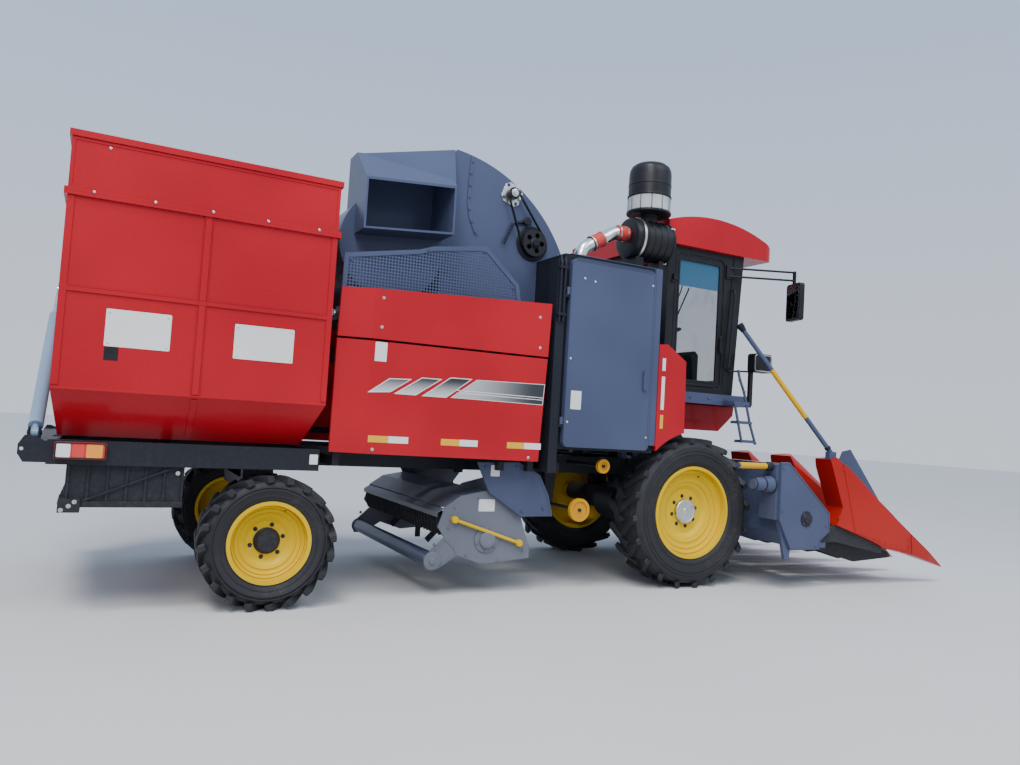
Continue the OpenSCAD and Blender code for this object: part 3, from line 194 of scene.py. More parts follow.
def painted(name, colour, roughness=0.3, coat=0.35, dust=0.3, wear=0.3, waviness=0.25, edge=0.0012):
    """Sheet metal paint: deep gloss, softly uneven, with dust low down and in thin runs, and worn edges."""
    look = Look(name)
    fine = look.noise(34.0, 6.0, 0.65)
    streaks = look.noise(2.4, 5.0, 0.6, look.stretched((14.0, 14.0, 0.7)))
    broad = look.ramp(look.noise(0.9, 2.0), 0.25, 0.75)
    tone = look.blend(broad, toned(colour, 0.88), toned(colour, 1.10, 0.002))

    low_down = look.times(look.ramp(look.along("Z"), 1.5, 0.15), look.ramp(fine, 0.38, 0.80, 0.25, 1.0))
    runs = look.times(look.ramp(streaks, 0.56, 0.84), 0.22)
    soiled = look.times(look.plus(low_down, runs), dust)
    dusted = look.blend(soiled, tone, DUST)

    normal, edges = look.rounded_edges(edge)
    chipped = look.times(look.times(edges, look.ramp(fine, 0.50, 0.64)), wear)
    gloss = look.plus(look.ramp(fine, 0.3, 0.8, roughness * 0.9, roughness * 1.15), look.times(soiled, 0.6))
    normal = look.bump(look.noise(2.1, 1.0), waviness, 0.006, normal)
    normal = look.bump(look.noise(520.0, 2.0), 0.08, 0.0004, normal)
    amounts = {"Coat Weight": coat, "Coat Roughness": 0.10, "Specular IOR Level": 0.16}
    return look.surface(look.blend(chipped, dusted, CHIPPED), gloss, normal, amounts)


def rubber(name, colour=RUBBER, dust=0.45):
    """Rubber: matt, finely mottled, with dry soil in places."""
    look = Look(name)
    fine = look.noise(60.0, 7.0, 0.7)
    tone = look.blend(look.ramp(fine, 0.35, 0.75), colour, toned(colour, 1.7))
    spots = look.times(look.ramp(look.noise(5.0, 5.0), 0.46, 0.78), look.ramp(fine, 0.42, 0.7))
    tone = look.blend(look.times(spots, dust), tone, SOIL)
    normal, _ = look.rounded_edges(0.006)
    return look.surface(tone, look.ramp(fine, 0.3, 0.8, 0.60, 0.85), look.bump(fine, 0.3, 0.0012, normal))


def plastic(name, colour, roughness=0.45):
    """Moulded plastic: fine pebble grain and slight fading."""
    look = Look(name)
    broad = look.noise(6.0, 4.0)
    tone = look.blend(look.ramp(broad, 0.4, 0.8), colour, toned(colour, 1.5, 0.002))
    normal, _ = look.rounded_edges(0.004)
    normal = look.bump(look.cells(600.0), 0.2, 0.0005, normal)
    gloss = look.ramp(broad, 0.3, 0.8, roughness * 0.85, roughness * 1.2)
    return look.surface(tone, gloss, normal, {"Specular IOR Level": 0.3})


def metal(name, colour, roughness=0.3, marks_depth=0.12):
    """Bare or plated metal with fine drawing marks and a little dirt."""
    look = Look(name)
    marks = look.noise(60.0, 6.0, 0.7, look.stretched((1.0, 1.0, 14.0)))
    tone = look.blend(look.ramp(look.noise(18.0, 5.0, 0.6), 0.45, 0.8), colour, toned(colour, 0.6))
    gloss = look.ramp(marks, 0.3, 0.75, roughness * 0.75, roughness * 1.35)
    return look.surface(tone, gloss, look.bump(marks, marks_depth, 0.0005), {"Metallic": 1.0})


def glass(name, tint, alpha, roughness=0.14):
    """Clear sheet: slightly tinted, with a film of dust in places."""
    look = Look(name)
    dust = look.noise(3.2, 5.0, 0.6)
    tone = look.blend(look.ramp(dust, 0.55, 0.9, 0.0, 0.5), tint, toned(tint, 0.9, 0.008))
    cover = look.ramp(dust, 0.5, 0.9, alpha, min(1.0, alpha + 0.10))
    gloss = look.ramp(dust, 0.4, 0.9, roughness, roughness + 0.12)
    return look.surface(tone, gloss, amounts={"Alpha": cover, "Specular IOR Level": 0.06})


def woven(name, colour):
    """Seat cloth: two crossed rows of threads."""
    look = Look(name)
    weave = look.times(look.waves("X", 160.0, 0.6), look.waves("Z", 160.0, 0.6))
    tone = look.blend(weave, colour, toned(colour, 2.2, 0.01))
    return look.surface(tone, 0.9, look.bump(weave, 0.4, 0.001), {"Sheen Weight": 0.3})


def lens(name, colour, scale=55.0):
    """Moulded lamp lens with fine flutes."""
    look = Look(name)
    flutes = look.waves("X", scale)
    tone = look.blend(flutes, colour, toned(colour, 1.35, 0.02))
    return look.surface(tone, 0.14, look.bump(flutes, 0.4, 0.002), {"Coat Weight": 0.6})


def film(name, low_colour, high_colour, axis, low, high):
    """Stuck-on film whose tone runs from one colour to another along an axis of the row frame."""
    look = Look(name)
    speckle = look.noise(90.0, 4.0)
    run = look.plus(look.ramp(look.along(axis), low, high), look.ramp(speckle, 0.3, 0.7, -0.01, 0.01))
    tone = look.blend(run, low_colour, high_colour)
    return look.surface(tone, look.ramp(speckle, 0.3, 0.8, 0.26, 0.40), amounts={"Metallic": 0.35})


def reflector(name, colour):
    """Reflecting tape: small cells under a clear face."""
    look = Look(name)
    seam = look.ramp(look.cells(160.0, "DISTANCE_TO_EDGE"), 0.02, 0.10)
    tone = look.blend(seam, toned(colour, 0.78), colour)
    return look.surface(tone, 0.25, look.bump(seam, 0.2, 0.0005), {"Coat Weight": 0.5})


PAINT = {
    "red": painted("red_paint", RED, 0.30, 0.16, 0.08, 0.2, 0.22),
    "snout_red": painted("snout_red_paint", SNOUT_RED, 0.36, 0.06, 0.07, 0.3),
    "slate": painted("slate_paint", SLATE, 0.36, 0.14, 0.07, 0.2),
    "frame": painted("frame_paint", FRAME_DARK, 0.45, 0.03, 0.16, 0.3, edge=0.004),
    "plate": painted("plate_paint", PLATE_GREY, 0.42, 0.08, 0.20, 0.3, edge=0.003),
    "engine": painted("engine_paint", (0.05, 0.055, 0.06), 0.55, 0.0, 0.5, 0.3),
    "rim_yellow": painted("rim_paint", YELLOW, 0.42, 0.02, 0.02, 0.1, 0.1),
    "orange": painted("pulley_paint", ORANGE, 0.36, 0.06, 0.10, 0.3, 0.1),
    "pale_blue": painted("cylinder_paint", PALE_BLUE, 0.32, 0.30, 0.15, 0.3, 0.1),
    "tyre": rubber("tyre_rubber"),
    "rod": metal("chromed_rod", (0.75, 0.76, 0.78), 0.12),
    "black": plastic("black_plastic", BLACK, 0.42),
    "glass": glass("window_glass", (0.003, 0.010, 0.011), 0.17),
    "lamp": lens("red_lens", (0.55, 0.02, 0.012)),
    "seat": woven("seat_cloth", (0.012, 0.012, 0.014)),
}
ZINC = metal("zinc_plate", (0.62, 0.62, 0.60), 0.34)
ALUMINIUM = metal("aluminium_pipe", (0.80, 0.80, 0.79), 0.24)
WORN_STEEL = metal("worn_steel", (0.34, 0.33, 0.32), 0.38)
# Very bright sheet for the trough's top channel: a painted highlight of the light on its upper face
HIGHLIGHT_SHEET = metal("painted_highlight_sheet", (0.82, 0.83, 0.85), 0.22)
MIRROR_FACE = metal("mirror_face", (0.88, 0.89, 0.90), 0.03, marks_depth=0.0)
PLAIN_WHITE = painted("white_film", (0.70, 0.70, 0.68), 0.38, 0.2, 0.10, 0.0, 0.0, 0.0005)
BAND_YELLOW = painted("band_yellow_paint", BAND, 0.36, 0.06, 0.08, 0.2, 0.1, 0.001)
RED_RUBBER = rubber("red_sleeve_rubber", (0.40, 0.030, 0.020), 0.15)
CLEAR_PLASTIC = glass("clear_plastic", (0.75, 0.78, 0.80), 0.38, 0.08)
PALE_PLASTIC = plastic("pale_plastic", (0.42, 0.44, 0.46), 0.40)
SUN_BAND = glass("sun_band", (0.045, 0.12, 0.20), 0.90, 0.10)
CLEAR_LENS = lens("clear_lens", (0.62, 0.64, 0.66), 80.0)
AMBER_LENS = lens("amber_lens", (0.72, 0.24, 0.010), 70.0)
TAPE = {
    "white": reflector("reflector_white", (0.74, 0.75, 0.77)),
    "amber": reflector("reflector_amber", (0.74, 0.40, 0.010)),
}
STRIPE_SHORT = film("silver_film_short", (0.62, 0.62, 0.62), (0.035, 0.038, 0.042), "Z", 1.505, 1.650)
LONG_FADE = (1.25 + AXLE_X, 1.96 + AXLE_X)
STRIPE_LONG = film("silver_film_long", (0.50, 0.50, 0.50), (0.035, 0.040, 0.044), "X", *LONG_FADE)


def dress_cad():
    """Each CAD node takes the finish of its slot in the record."""
    for subpart in frame["record"]["subparts"]:
        obj = frame["nodes"][subpart["node"]]
        obj.data.materials.clear()
        obj.data.materials.append(PAINT[subpart["material_slot"]])


# Points and outlines

SMOOTH_ANGLE = math.radians(32)
RIGHT, LEFT = -1, 1
SIDES = (RIGHT, LEFT)
SIDE_NAMES = {RIGHT: "right", LEFT: "left"}
# The side that the photograph shows; only it has blank plates
SEEN = RIGHT
FORWARD, UP = (1, 0, 0), (0, 0, 1)


def spread(axis, point, level):
    """A point given by its two other coordinates, in their order, at a level along an axis."""
    a, b = point
    return {"x": (level, a, b), "y": (a, level, b), "z": (a, b, level)}[axis]


def span(side, a, b):
    """Two distances from the middle, as Y in rising order."""
    return sorted((side * a, side * b))


def mirrored(side, points):
    return [(x, side * y, z) for x, y, z in points]


def turns(count, start=0.0):
    """Angles evenly round a circle."""
    return [start + 2 * math.pi * i / count for i in range(count)]


def heading(angle):
    return Vector((math.cos(angle), math.sin(angle), 0))


def circle(x, z, radius, angles):
    return [(x + radius * math.cos(a), z + radius * math.sin(a)) for a in angles]


def rectangle(x0, x1, z0, z1):
    return [(x0, z0), (x1, z0), (x1, z1), (x0, z1)]


def rounded(low, high, r, steps=5):
    """A rectangle with round corners, as points in order."""
    points = []
    centres = rectangle(low[0] + r, high[0] - r, low[1] + r, high[1] - r)
    for quarter, (a, b) in enumerate((centres[2], centres[3], centres[0], centres[1])):
        points += circle(a, b, r, [math.radians(90 * quarter + 90 * i / steps) for i in range(steps + 1)])
    return points


def shrunk(points, d):
    """The same outline moved in by d; its points run either way round."""
    after = [*points[1:], points[0]]
    area = sum(here[0] * there[1] - there[0] * here[1] for here, there in zip(points, after))
    turn = 1 if area > 0 else -1
    result = []
    for i, point in enumerate(points):
        here = Vector(point)
        edges = (here - Vector(points[i - 1])).normalized(), (Vector(after[i]) - here).normalized()
        normals = [Vector((-v.y, v.x)) * turn for v in edges]
        middle = (normals[0] + normals[1]).normalized()
        result.append(tuple(here + middle * d / max(0.3, middle.dot(normals[0]))))
    return result


def inside(points, x, z):
    """Whether a place lies within an outline."""
    found = False
    for (x0, z0), (x1, z1) in zip(points, points[1:] + points[:1]):
        if (z0 > z) != (z1 > z) and x < (x1 - x0) * (z - z0) / (z1 - z0) + x0:
            found = not found
    return found


def curve(points, steps=6):
    """A smooth line through the points."""
    vectors = [Vector(point) for point in points]
    vectors = [2 * vectors[0] - vectors[1]] + vectors + [2 * vectors[-1] - vectors[-2]]
    result = []
    for i in range(1, len(vectors) - 2):
        a, b, c, d = vectors[i - 1:i + 3]
        for k in range(steps):
            t = k / steps
            square, cube = 2 * a - 5 * b + 4 * c - d, 3 * b - a - 3 * c + d
            result.append(0.5 * (2 * b + (c - a) * t + square * t ** 2 + cube * t ** 3))
    return result + [vectors[-2]]


# Pieces

def placed(name, mesh, look, body="machine"):
    """The object of a mesh, riding a body. The look is a slot's name in PAINT, or a material of its own."""
    in_slot = isinstance(look, str)
    data = bpy.data.meshes.new(name)
    mesh.to_mesh(data)
    mesh.free()
    data.materials.append(PAINT[look] if in_slot else look)
    piece = link(name, data)
    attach(piece, body)
    return piece


class Group:
    """A piece made of small solids, finished when all are in. Places are given from the rear axle."""

    # Groups that are not finished yet
    waiting = []

    def __init__(self, name, look, body="machine", bevel=0):
        self.mesh = bmesh.new()
        self.name, self.look, self.body, self.bevel = name, look, body, bevel
        self.waiting.append(self)

    def skin(self, rings, closed=False):
        """Joins rings of equally many points; unless closed, the first and last ring are capped."""
        rows = [[self.mesh.verts.new(at(*point)) for point in ring] for ring in rings]
        pairs = list(zip(rows, rows[1:]))
        if closed:
            pairs.append((rows[-1], rows[0]))
        for low, high in pairs:
            for i in range(len(low)):
                j = (i + 1) % len(low)
                self.mesh.faces.new((low[i], low[j], high[j], high[i]))
        if not closed:
            self.mesh.faces.new(rows[0][::-1])
            self.mesh.faces.new(rows[-1])

    def prism(self, points, axis, low, high):
        """An outline in the two other coordinates, extruded along an axis."""
        self.skin([[spread(axis, point, level) for point in points] for level in (low, high)])

    def frame(self, outer, inner, axis, low, high):
        """The strip between two outlines of equally many points."""
        self.skin([
            [spread(axis, point, level) for point in line]
            for line, level in ((outer, low), (outer, high), (inner, high), (inner, low))
        ], closed=True)

    def box(self, low, high):
        self.prism(rectangle(low[0], high[0], low[1], high[1]), "z", low[2], high[2])

    def lathe(self, centre, axis, profile, steps=32, closed=False):
        """A profile of (radius, distance along the axis) turned about a line through the centre."""
        centre, along = Vector(centre), Vector(axis).normalized()
        side = along.orthogonal().normalized()
        other = along.cross(side)
        spokes = [math.cos(a) * side + math.sin(a) * other for a in turns(steps)]
        self.skin([
            [centre + along * distance + radius * spoke for spoke in spokes] for radius, distance in profile
        ], closed)

    def tube(self, path, radius, sides=12):
        points = [Vector(point) for point in path]
        rings, side = [], None
        for i, point in enumerate(points):
            ahead = (points[min(i + 1, len(points) - 1)] - points[max(i - 1, 0)]).normalized()
            side = ahead.orthogonal() if side is None else side - side.dot(ahead) * ahead
            side = side.normalized()
            other = ahead.cross(side)
            rings.append([point + radius * (math.cos(a) * side + math.sin(a) * other) for a in turns(sides)])
        self.skin(rings)

    def bolt(self, centre, axis, r):
        """A hexagon head on its washer."""
        self.lathe(centre, axis, [(1.7 * r, 0), (1.7 * r, 0.25 * r)], 14)
        self.lathe(centre, axis, [(r, 0.2 * r), (r, 0.8 * r), (0.8 * r, 1.0 * r)], 6)

    def rivet(self, centre, axis, r):
        self.lathe(centre, axis, [(r, 0), (0.9 * r, 0.35 * r), (0.5 * r, 0.6 * r)], 10)

    def bolts(self, places, side, y, r):
        for x, z in places:
            self.bolt((x, side * y, z), (0, side, 0), r)

    def rivets(self, places, side, y, r):
        for x, z in places:
            self.rivet((x, side * y, z), (0, side, 0), r)

    def boss(self, x, z, side, y, profile, steps=32, closed=False):
        """A turned form that stands out from a side face."""
        self.lathe((x, side * y, z), (0, side, 0), profile, steps, closed)

    def flat(self, points, side, y, thickness):
        """A plate on a side face."""
        self.prism(points, "y", *span(side, y, y + thickness))

    def edging(self, line, outer, inner, side, y, thickness):
        """A strip along an outline on a side face, between two distances in from it."""
        self.frame(shrunk(line, outer), shrunk(line, inner), "y", *span(side, y, y + thickness))

    def finish(self):
        bmesh.ops.recalc_face_normals(self.mesh, faces=self.mesh.faces)
        piece = placed(self.name, self.mesh, self.look, self.body)
        piece.data.shade_smooth()
        piece.data.set_sharp_from_angle(angle=SMOOTH_ANGLE)
        if self.bevel:
            edges = piece.modifiers.new("edges", "BEVEL")
            edges.width = self.bevel
            edges.segments = 2
            edges.limit_method = "ANGLE"
            edges.angle_limit = SMOOTH_ANGLE
            edges.harden_normals = True
        self.waiting.remove(self)
        return piece


# Body

PANEL_Y = 1.170
FILM, TAPE_FILM = 0.0012, 0.0015
STRIPES = (
    # four corners in X and Z, from the lower rear one
    ((0.579, 1.511), (0.744, 1.523), (0.899, 1.627), (0.731, 1.620)),
    ((0.773, 1.514), (0.938, 1.514), (1.135, 1.646), (0.978, 1.645)),
    ((0.987, 1.512), (1.177, 1.513), (1.380, 1.666), (1.204, 1.664)),
)
LONG_STRIPE = ((1.214, 1.516), (1.420, 1.663), (2.012, 1.674), (2.000, 1.511))
# Rear ends of the reflecting strips on the lower panel, and their length
STRIP_REAR = (0.603, 1.158, 1.707)
STRIP_LENGTH = 0.300
FENDER_STRIPS = (
    # lower and upper end, tape
    (1.385, 1.504, "amber"), (1.549, 1.835, "white"), (1.886, 1.994, "white"),
)
PANEL_SCREWS = (
    (0.650, 2.190), (0.650, 1.980), (1.935, 2.200), (1.950, 1.960), (0.640, 1.110), (1.900, 1.095),
)


def add_side_trim():
    short = Group("silver_stripes_short", STRIPE_SHORT)
    long = Group("silver_stripe_long", STRIPE_LONG)
    lines = Group("stripe_lines", PLAIN_WHITE)
    screws = Group("panel_screws", ZINC)
    strips = {colour: Group("reflecting_strips_" + colour, TAPE[colour], bevel=0.0004) for colour in TAPE}
    outlined = [(short, stripe, 0.005) for stripe in STRIPES] + [(long, LONG_STRIPE, 0.003)]
    for side in SIDES:
        for group, stripe, width in outlined:
            group.flat(stripe, side, PANEL_Y, FILM)
            lines.edging(stripe, -0.001, width, side, PANEL_Y + FILM, FILM / 2)
        for level in (1.553, 1.571):
            line = [(1.262, level), (2.003, level - 0.006), (2.003, level - 0.001), (1.262, level + 0.006)]
            lines.flat(line, side, PANEL_Y + FILM, FILM / 2)
        for rear in STRIP_REAR:
            middle, front = rear + STRIP_LENGTH / 2, rear + STRIP_LENGTH
            strips["amber"].flat(rectangle(rear, middle, 1.160, 1.208), side, PANEL_Y, TAPE_FILM)
            strips["white"].flat(rectangle(middle, front, 1.160, 1.208), side, PANEL_Y, TAPE_FILM)
        for low, high, colour in FENDER_STRIPS:
            strips[colour].flat(rectangle(3.180, 3.214, low, high), side, 1.155, TAPE_FILM)
        screws.bolts(PANEL_SCREWS, side, PANEL_Y, 0.007)


GUARD_LINE = [
    (0.37, 2.20), (0.37, 2.49), (0.93, 2.60), (1.04, 2.64), (1.48, 2.71), (1.78, 2.45), (1.83, 2.20),
]
DEFLECTOR_LINE = [
    (1.548, 1.038), (1.920, 1.049), (2.120, 0.950), (2.211, 0.782), (2.256, 0.616), (1.962, 0.612),
    (1.661, 0.807),
]
GUARD_Y, DEFLECTOR_Y = 1.0603, 0.997
BORDER_DEPTH = 0.012
HOLE_PITCH = 0.0235
HOLE_R = 0.0088
# Corners and middles of a square's edges, in half pitches
SQUARE = ((2, 1), (2, 2), (1, 2), (0, 2), (0, 1), (0, 0), (1, 0), (2, 0))
GUARD_SCREWS = ((0.42, 2.24), (0.42, 2.45), (1.76, 2.24), (1.73, 2.42), (1.46, 2.67), (1.00, 2.605))
DEFLECTOR_SCREWS = ((1.62, 1.00), (1.90, 1.01), (2.16, 0.68), (1.97, 0.655))


def perforated_sheet(line, side, name):
    """A sheet with a round hole in each small square, inside a folded border."""
    mesh = bmesh.new()
    border = shrunk(line, 0.016)
    y = side * (GUARD_Y + 0.004)
    corners = {}

    def corner(*key):
        if key not in corners:
            corners[key] = mesh.verts.new(at(key[0] * HOLE_PITCH / 2, y, key[1] * HOLE_PITCH / 2))
        return corners[key]

    for column in range(14, 80):
        for row in range(92, 118):
            x, z = (column + 0.5) * HOLE_PITCH, (row + 0.5) * HOLE_PITCH
            if not (2.20 < z < 2.72 and inside(border, x, z)):
                continue
            edge = [corner(2 * column + a, 2 * row + b) for a, b in SQUARE]
            hole = [mesh.verts.new(at(a, y, b)) for a, b in circle(x, z, HOLE_R, turns(8))]
            for k in range(8):
                n = (k + 1) % 8
                mesh.faces.new((edge[k], edge[n], hole[n], hole[k]))
    sheet = placed(name, mesh, "slate")
    thick = sheet.modifiers.new("thickness", "SOLIDIFY")
    thick.thickness = 0.003
    thick.offset = 0
    return sheet


def add_guards():
    edges = Group("guard_borders", "slate", bevel=0.0015)
    screws = Group("guard_screws", "slate")
    for side in SIDES:
        sheet = perforated_sheet(GUARD_LINE, side, "perforated_guard_" + SIDE_NAMES[side])
        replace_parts(sheet, "body_guards")
        edges.edging(GUARD_LINE, 0, 0.034, side, GUARD_Y, BORDER_DEPTH)
        edges.flat(DEFLECTOR_LINE, side, DEFLECTOR_Y - BORDER_DEPTH, BORDER_DEPTH)
        edges.edging(DEFLECTOR_LINE, 0.004, 0.020, side, DEFLECTOR_Y, 0.0035)
        screws.bolts(GUARD_SCREWS, side, GUARD_Y + BORDER_DEPTH, 0.008)
        screws.bolts(DEFLECTOR_SCREWS, side, DEFLECTOR_Y + 0.0025, 0.008)
    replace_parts(edges.finish(), "body_guards")


DOOR_Y = 1.165
DOOR_LINE = rounded((2.210, 1.190), (3.060, 2.720), 0.045)
DOOR_RIVETS = ((2.240, 1.903), (2.240, 1.392), (2.337, 2.568), (2.439, 2.554), (3.030, 1.300), (3.030, 2.600))
COVER_LINE = ((3.066, 1.115), (3.066, 1.150), (3.080, 1.158), (3.125, 1.158), (3.139, 1.150), (3.139, 1.115))


def add_doors():
    cover = Group("cabinet_covers", "slate", bevel=0.003)
    pipes = Group("post_pipes", "frame", bevel=0.001)
    for side in SIDES:
        body = "side_door_" + SIDE_NAMES[side]
        rim = Group("door_rim_" + body, "slate", body, 0.001)
        screws = Group("door_screws_" + body, ZINC, body)
        rim.edging(DOOR_LINE, 0.002, 0.015, side, DOOR_Y, 0.003)
        rim.flat(rectangle(2.255, 3.015, 2.719, 2.727), side, 1.120, 0.052)
        screws.rivets(DOOR_RIVETS, side, DOOR_Y, 0.011)
        # Cover between the side door and the cab
        cover.prism([(x, side * y) for x, y in COVER_LINE], "z", 1.235, 2.758)
        cover.flat(rectangle(2.220, 3.139, 2.7602, 2.768), side, 0.660, 0.460)
        # Two pipes down the post behind the door, and their clips
        for x in (2.112, 2.150):
            path = [(x, 1.162, 2.19), (x, 1.162, 2.45), (x, 1.162, 2.66)]
            path += [(x + 0.012, 1.130, 2.715), (x + 0.05, 1.080, 2.735)]
            pipes.tube(curve(mirrored(side, path)), 0.011, 10)
        low, high = span(side, 1.149, 1.178)
        for z in (2.24, 2.62):
            pipes.box((2.092, low, z), (2.169, high, z + 0.02))


# Wheels

DISC_Y = 0.975
WHEELS = (
    # name, X and height of the axle; number, circle and size of the bolts; height of the valve;
    # middle plane of the tyre; radius and distance from it of the ridges on a sidewall;
    # inner radius, distance from the disc's face and width of the steps pressed in the rim
    ("front", FRONT_AXLE_X, 0.662, 8, 0.136, 0.010, 0.30, 0.935,
     ((0.452, 0.1785), (0.520, 0.1900), (0.548, 0.1880)),
     ((0.262, 0.031, 0.034), (0.314, 0.044, 0.030), (0.356, 0.061, 0.024))),
    ("rear", 0.0, 0.452, 6, 0.112, 0.009, 0.20, 0.973,
     ((0.318, 0.1315), (0.356, 0.1425), (0.376, 0.1405)),
     ((0.178, 0.029, 0.024), (0.212, 0.043, 0.018), (0.234, 0.058, 0.016))),
)
FRONT_HUB = [(0.108, 0), (0.108, 0.030), (0.103, 0.036), (0.094, 0.037), (0.090, 0.034), (0.030, 0.035),
             (0.026, 0.040), (0.010, 0.041)]
REAR_HUB = [(0.090, 0), (0.090, 0.008), (0.080, 0.014), (0.074, 0.034), (0.066, 0.042), (0.020, 0.046)]


def add_wheel_parts(name, x, z, count, ring, size, valve, middle, ridges, pressed, side):
    body = "wheel_" + name + "_" + SIDE_NAMES[side]
    dark = Group("wheel_bolts_" + body, "frame", body)
    black = Group("valve_" + body, "black", body)
    walls = Group("sidewall_rings_" + body, "tyre", body)
    steps = Group("rim_steps_" + body, "rim_yellow", body, 0.001)
    if name == "front":
        Group("hub_disc_" + body, ZINC, body, 0.0015).boss(x, z, side, DISC_Y, FRONT_HUB, 48)
    else:
        dark.boss(x, z, side, DISC_Y, REAR_HUB, 40)
    dark.bolts(circle(x, z, ring, turns(count, math.pi / 2 / count)), side, DISC_Y, size)
    for r, reach, width in pressed:
        profile = [(r, reach - 0.004), (r + 0.001, reach + 0.011), (r + 0.006, reach + 0.015)]
        profile += [(r + width, reach + 0.007), (r + width, reach - 0.004)]
        steps.boss(x, z, side, DISC_Y, profile, 96, closed=True)
    stem = [(x + 0.10, DISC_Y + 0.02, z + valve), (x + 0.10, DISC_Y + 0.07, z + valve + 0.015)]
    black.tube(mirrored(side, stem), 0.006, 10)
    for flank in SIDES:
        for r, reach in ridges:
            profile = [(r - 0.007, reach - 0.004), (r - 0.004, reach + 0.003)]
            profile += [(r + 0.004, reach + 0.003), (r + 0.007, reach - 0.004)]
            walls.lathe((x, side * middle, z), (0, side * flank, 0), profile, 96, closed=True)


# Elevator, belt and air cleaner

ELEVATOR_Y = 0.6402
HOOD_FLANGE = (
    (1.500, 3.50), (1.495, 3.40), (1.492, 3.30), (1.490, 3.20), (1.500, 3.10), (1.528, 3.00), (1.565, 2.92),
)
ELEVATOR_SCREWS = (
    (1.32, 2.30), (1.32, 2.55), (1.32, 3.45), (1.55, 2.28), (1.80, 2.28), (2.05, 2.36), (2.18, 2.53),
    (2.33, 2.75), (2.60, 2.36), (2.90, 1.96), (2.55, 1.80), (2.78, 1.52), (3.05, 1.60),
)
UPPER_PULLEY, LOWER_PULLEY = (1.884, 3.300), (2.106, 2.907)
BEARING_CORNERS = [math.radians(start + step) for start in (12, 102, 192, 282) for step in (0, 28)]
# Ends of the tensioner's spring
SPRING = Vector((1.90, -0.665, 3.05)), Vector((1.82, -0.665, 2.86))
CROWN = (
    ((0.548, -0.6440, 3.368), (0.546, -0.6400, 3.362), (0.550, -0.6420, 3.362)),
    ((1.338, -0.6440, 3.569), (1.262, -0.9000, 3.206), (1.268, -0.6440, 3.420)),
)


def add_elevator_parts():
    screws = Group("elevator_screws", "slate")
    plate = Group("upper_bearing_plate", ZINC, bevel=0.0015)
    dark = Group("lower_pulley_plate", "frame", bevel=0.0015)
    arm = Group("belt_tensioner", "frame")
    crown = Group("spout_crown", "slate")
    screws.bolts(HOOD_FLANGE, RIGHT, 0.6485, 0.007)
    screws.bolts(ELEVATOR_SCREWS, RIGHT, 0.6405, 0.008)
    # Bearing plate of the upper pulley
    plate.flat(circle(*UPPER_PULLEY, 0.105, BEARING_CORNERS), RIGHT, ELEVATOR_Y, 0.010)
    plate.boss(*UPPER_PULLEY, RIGHT, 0.700, [(0.034, 0), (0.034, 0.012), (0.022, 0.016), (0.022, 0.024)], 24)
    screws.bolts(circle(*UPPER_PULLEY, 0.085, turns(4, math.radians(26))), RIGHT, ELEVATOR_Y + 0.010, 0.009)
    # Back plate and hub of the lower pulley
    dark.boss(*LOWER_PULLEY, RIGHT, ELEVATOR_Y, [(0.150, 0), (0.150, 0.008), (0.144, 0.012)], 48)
    dark.boss(*LOWER_PULLEY, RIGHT, 0.700, [(0.045, 0), (0.045, 0.006), (0.030, 0.014), (0.030, 0.024)], 24)
    screws.bolts(circle(*LOWER_PULLEY, 0.034, turns(4)), RIGHT, 0.706, 0.005)
    # Tensioner: arm, roller and spring
    arm.tube([(1.930, -0.655, 3.060), (2.030, -0.655, 3.085)], 0.012)
    roller = [(0.030, 0), (0.036, 0.004), (0.030, 0.008), (0.030, 0.036), (0.036, 0.040), (0.030, 0.044)]
    arm.boss(2.035, 3.087, RIGHT, 0.642, roller, 28)
    coil = [SPRING[0].lerp(SPRING[1], i / 96) + 0.014 * heading(i * math.pi / 4) for i in range(97)]
    arm.tube(coil, 0.0028, 6)
    # Crown that joins the spout's roof to the top of the elevator
    crown.skin(CROWN)


FILTER_Y, FILTER_Z = -0.800, 3.080
# Where the pre-cleaner's axis meets the canister's
NECK = Vector((3.215, FILTER_Y, FILTER_Z))
CLEANER_FOOT = [
    (0.082, 0.150), (0.078, 0.170), (0.078, 0.214), (0.086, 0.218), (0.086, 0.232), (0.120, 0.236),
    (0.192, 0.240), (0.203, 0.246), (0.203, 0.262), (0.194, 0.266), (0.100, 0.267),
]
CLEANER_LID = [
    (0.150, 0.393), (0.200, 0.396), (0.200, 0.408), (0.193, 0.412), (0.193, 0.500), (0.196, 0.503),
    (0.196, 0.513), (0.193, 0.516), (0.192, 0.612), (0.187, 0.645), (0.172, 0.678), (0.140, 0.703),
    (0.090, 0.716), (0.030, 0.719),
]
CLEANER_BOWL = [
    (0.191, 0.2665), (0.195, 0.270), (0.195, 0.388), (0.191, 0.3925), (0.187, 0.3925), (0.187, 0.2665),
]
# The pipe's line, in X and Z
PIPE_LINE = (
    (2.900, 3.110), (2.840, 3.098), (2.740, 3.036), (2.620, 2.968), (2.545, 2.915), (2.512, 2.860),
    (2.510, 2.800),
)


def canister_profile():
    profile = [(0.06, 2.985), (0.150, 2.985), (0.176, 2.992), (0.182, 3.004)]
    for i in range(6):
        x = 3.030 + 0.07 * i
        profile += [(0.182, x), (0.190, x + 0.004), (0.190, x + 0.014), (0.182, x + 0.018)]
    return profile + [(0.182, 3.402), (0.172, 3.416), (0.120, 3.420), (0.112, 3.408), (0.05, 3.408)]


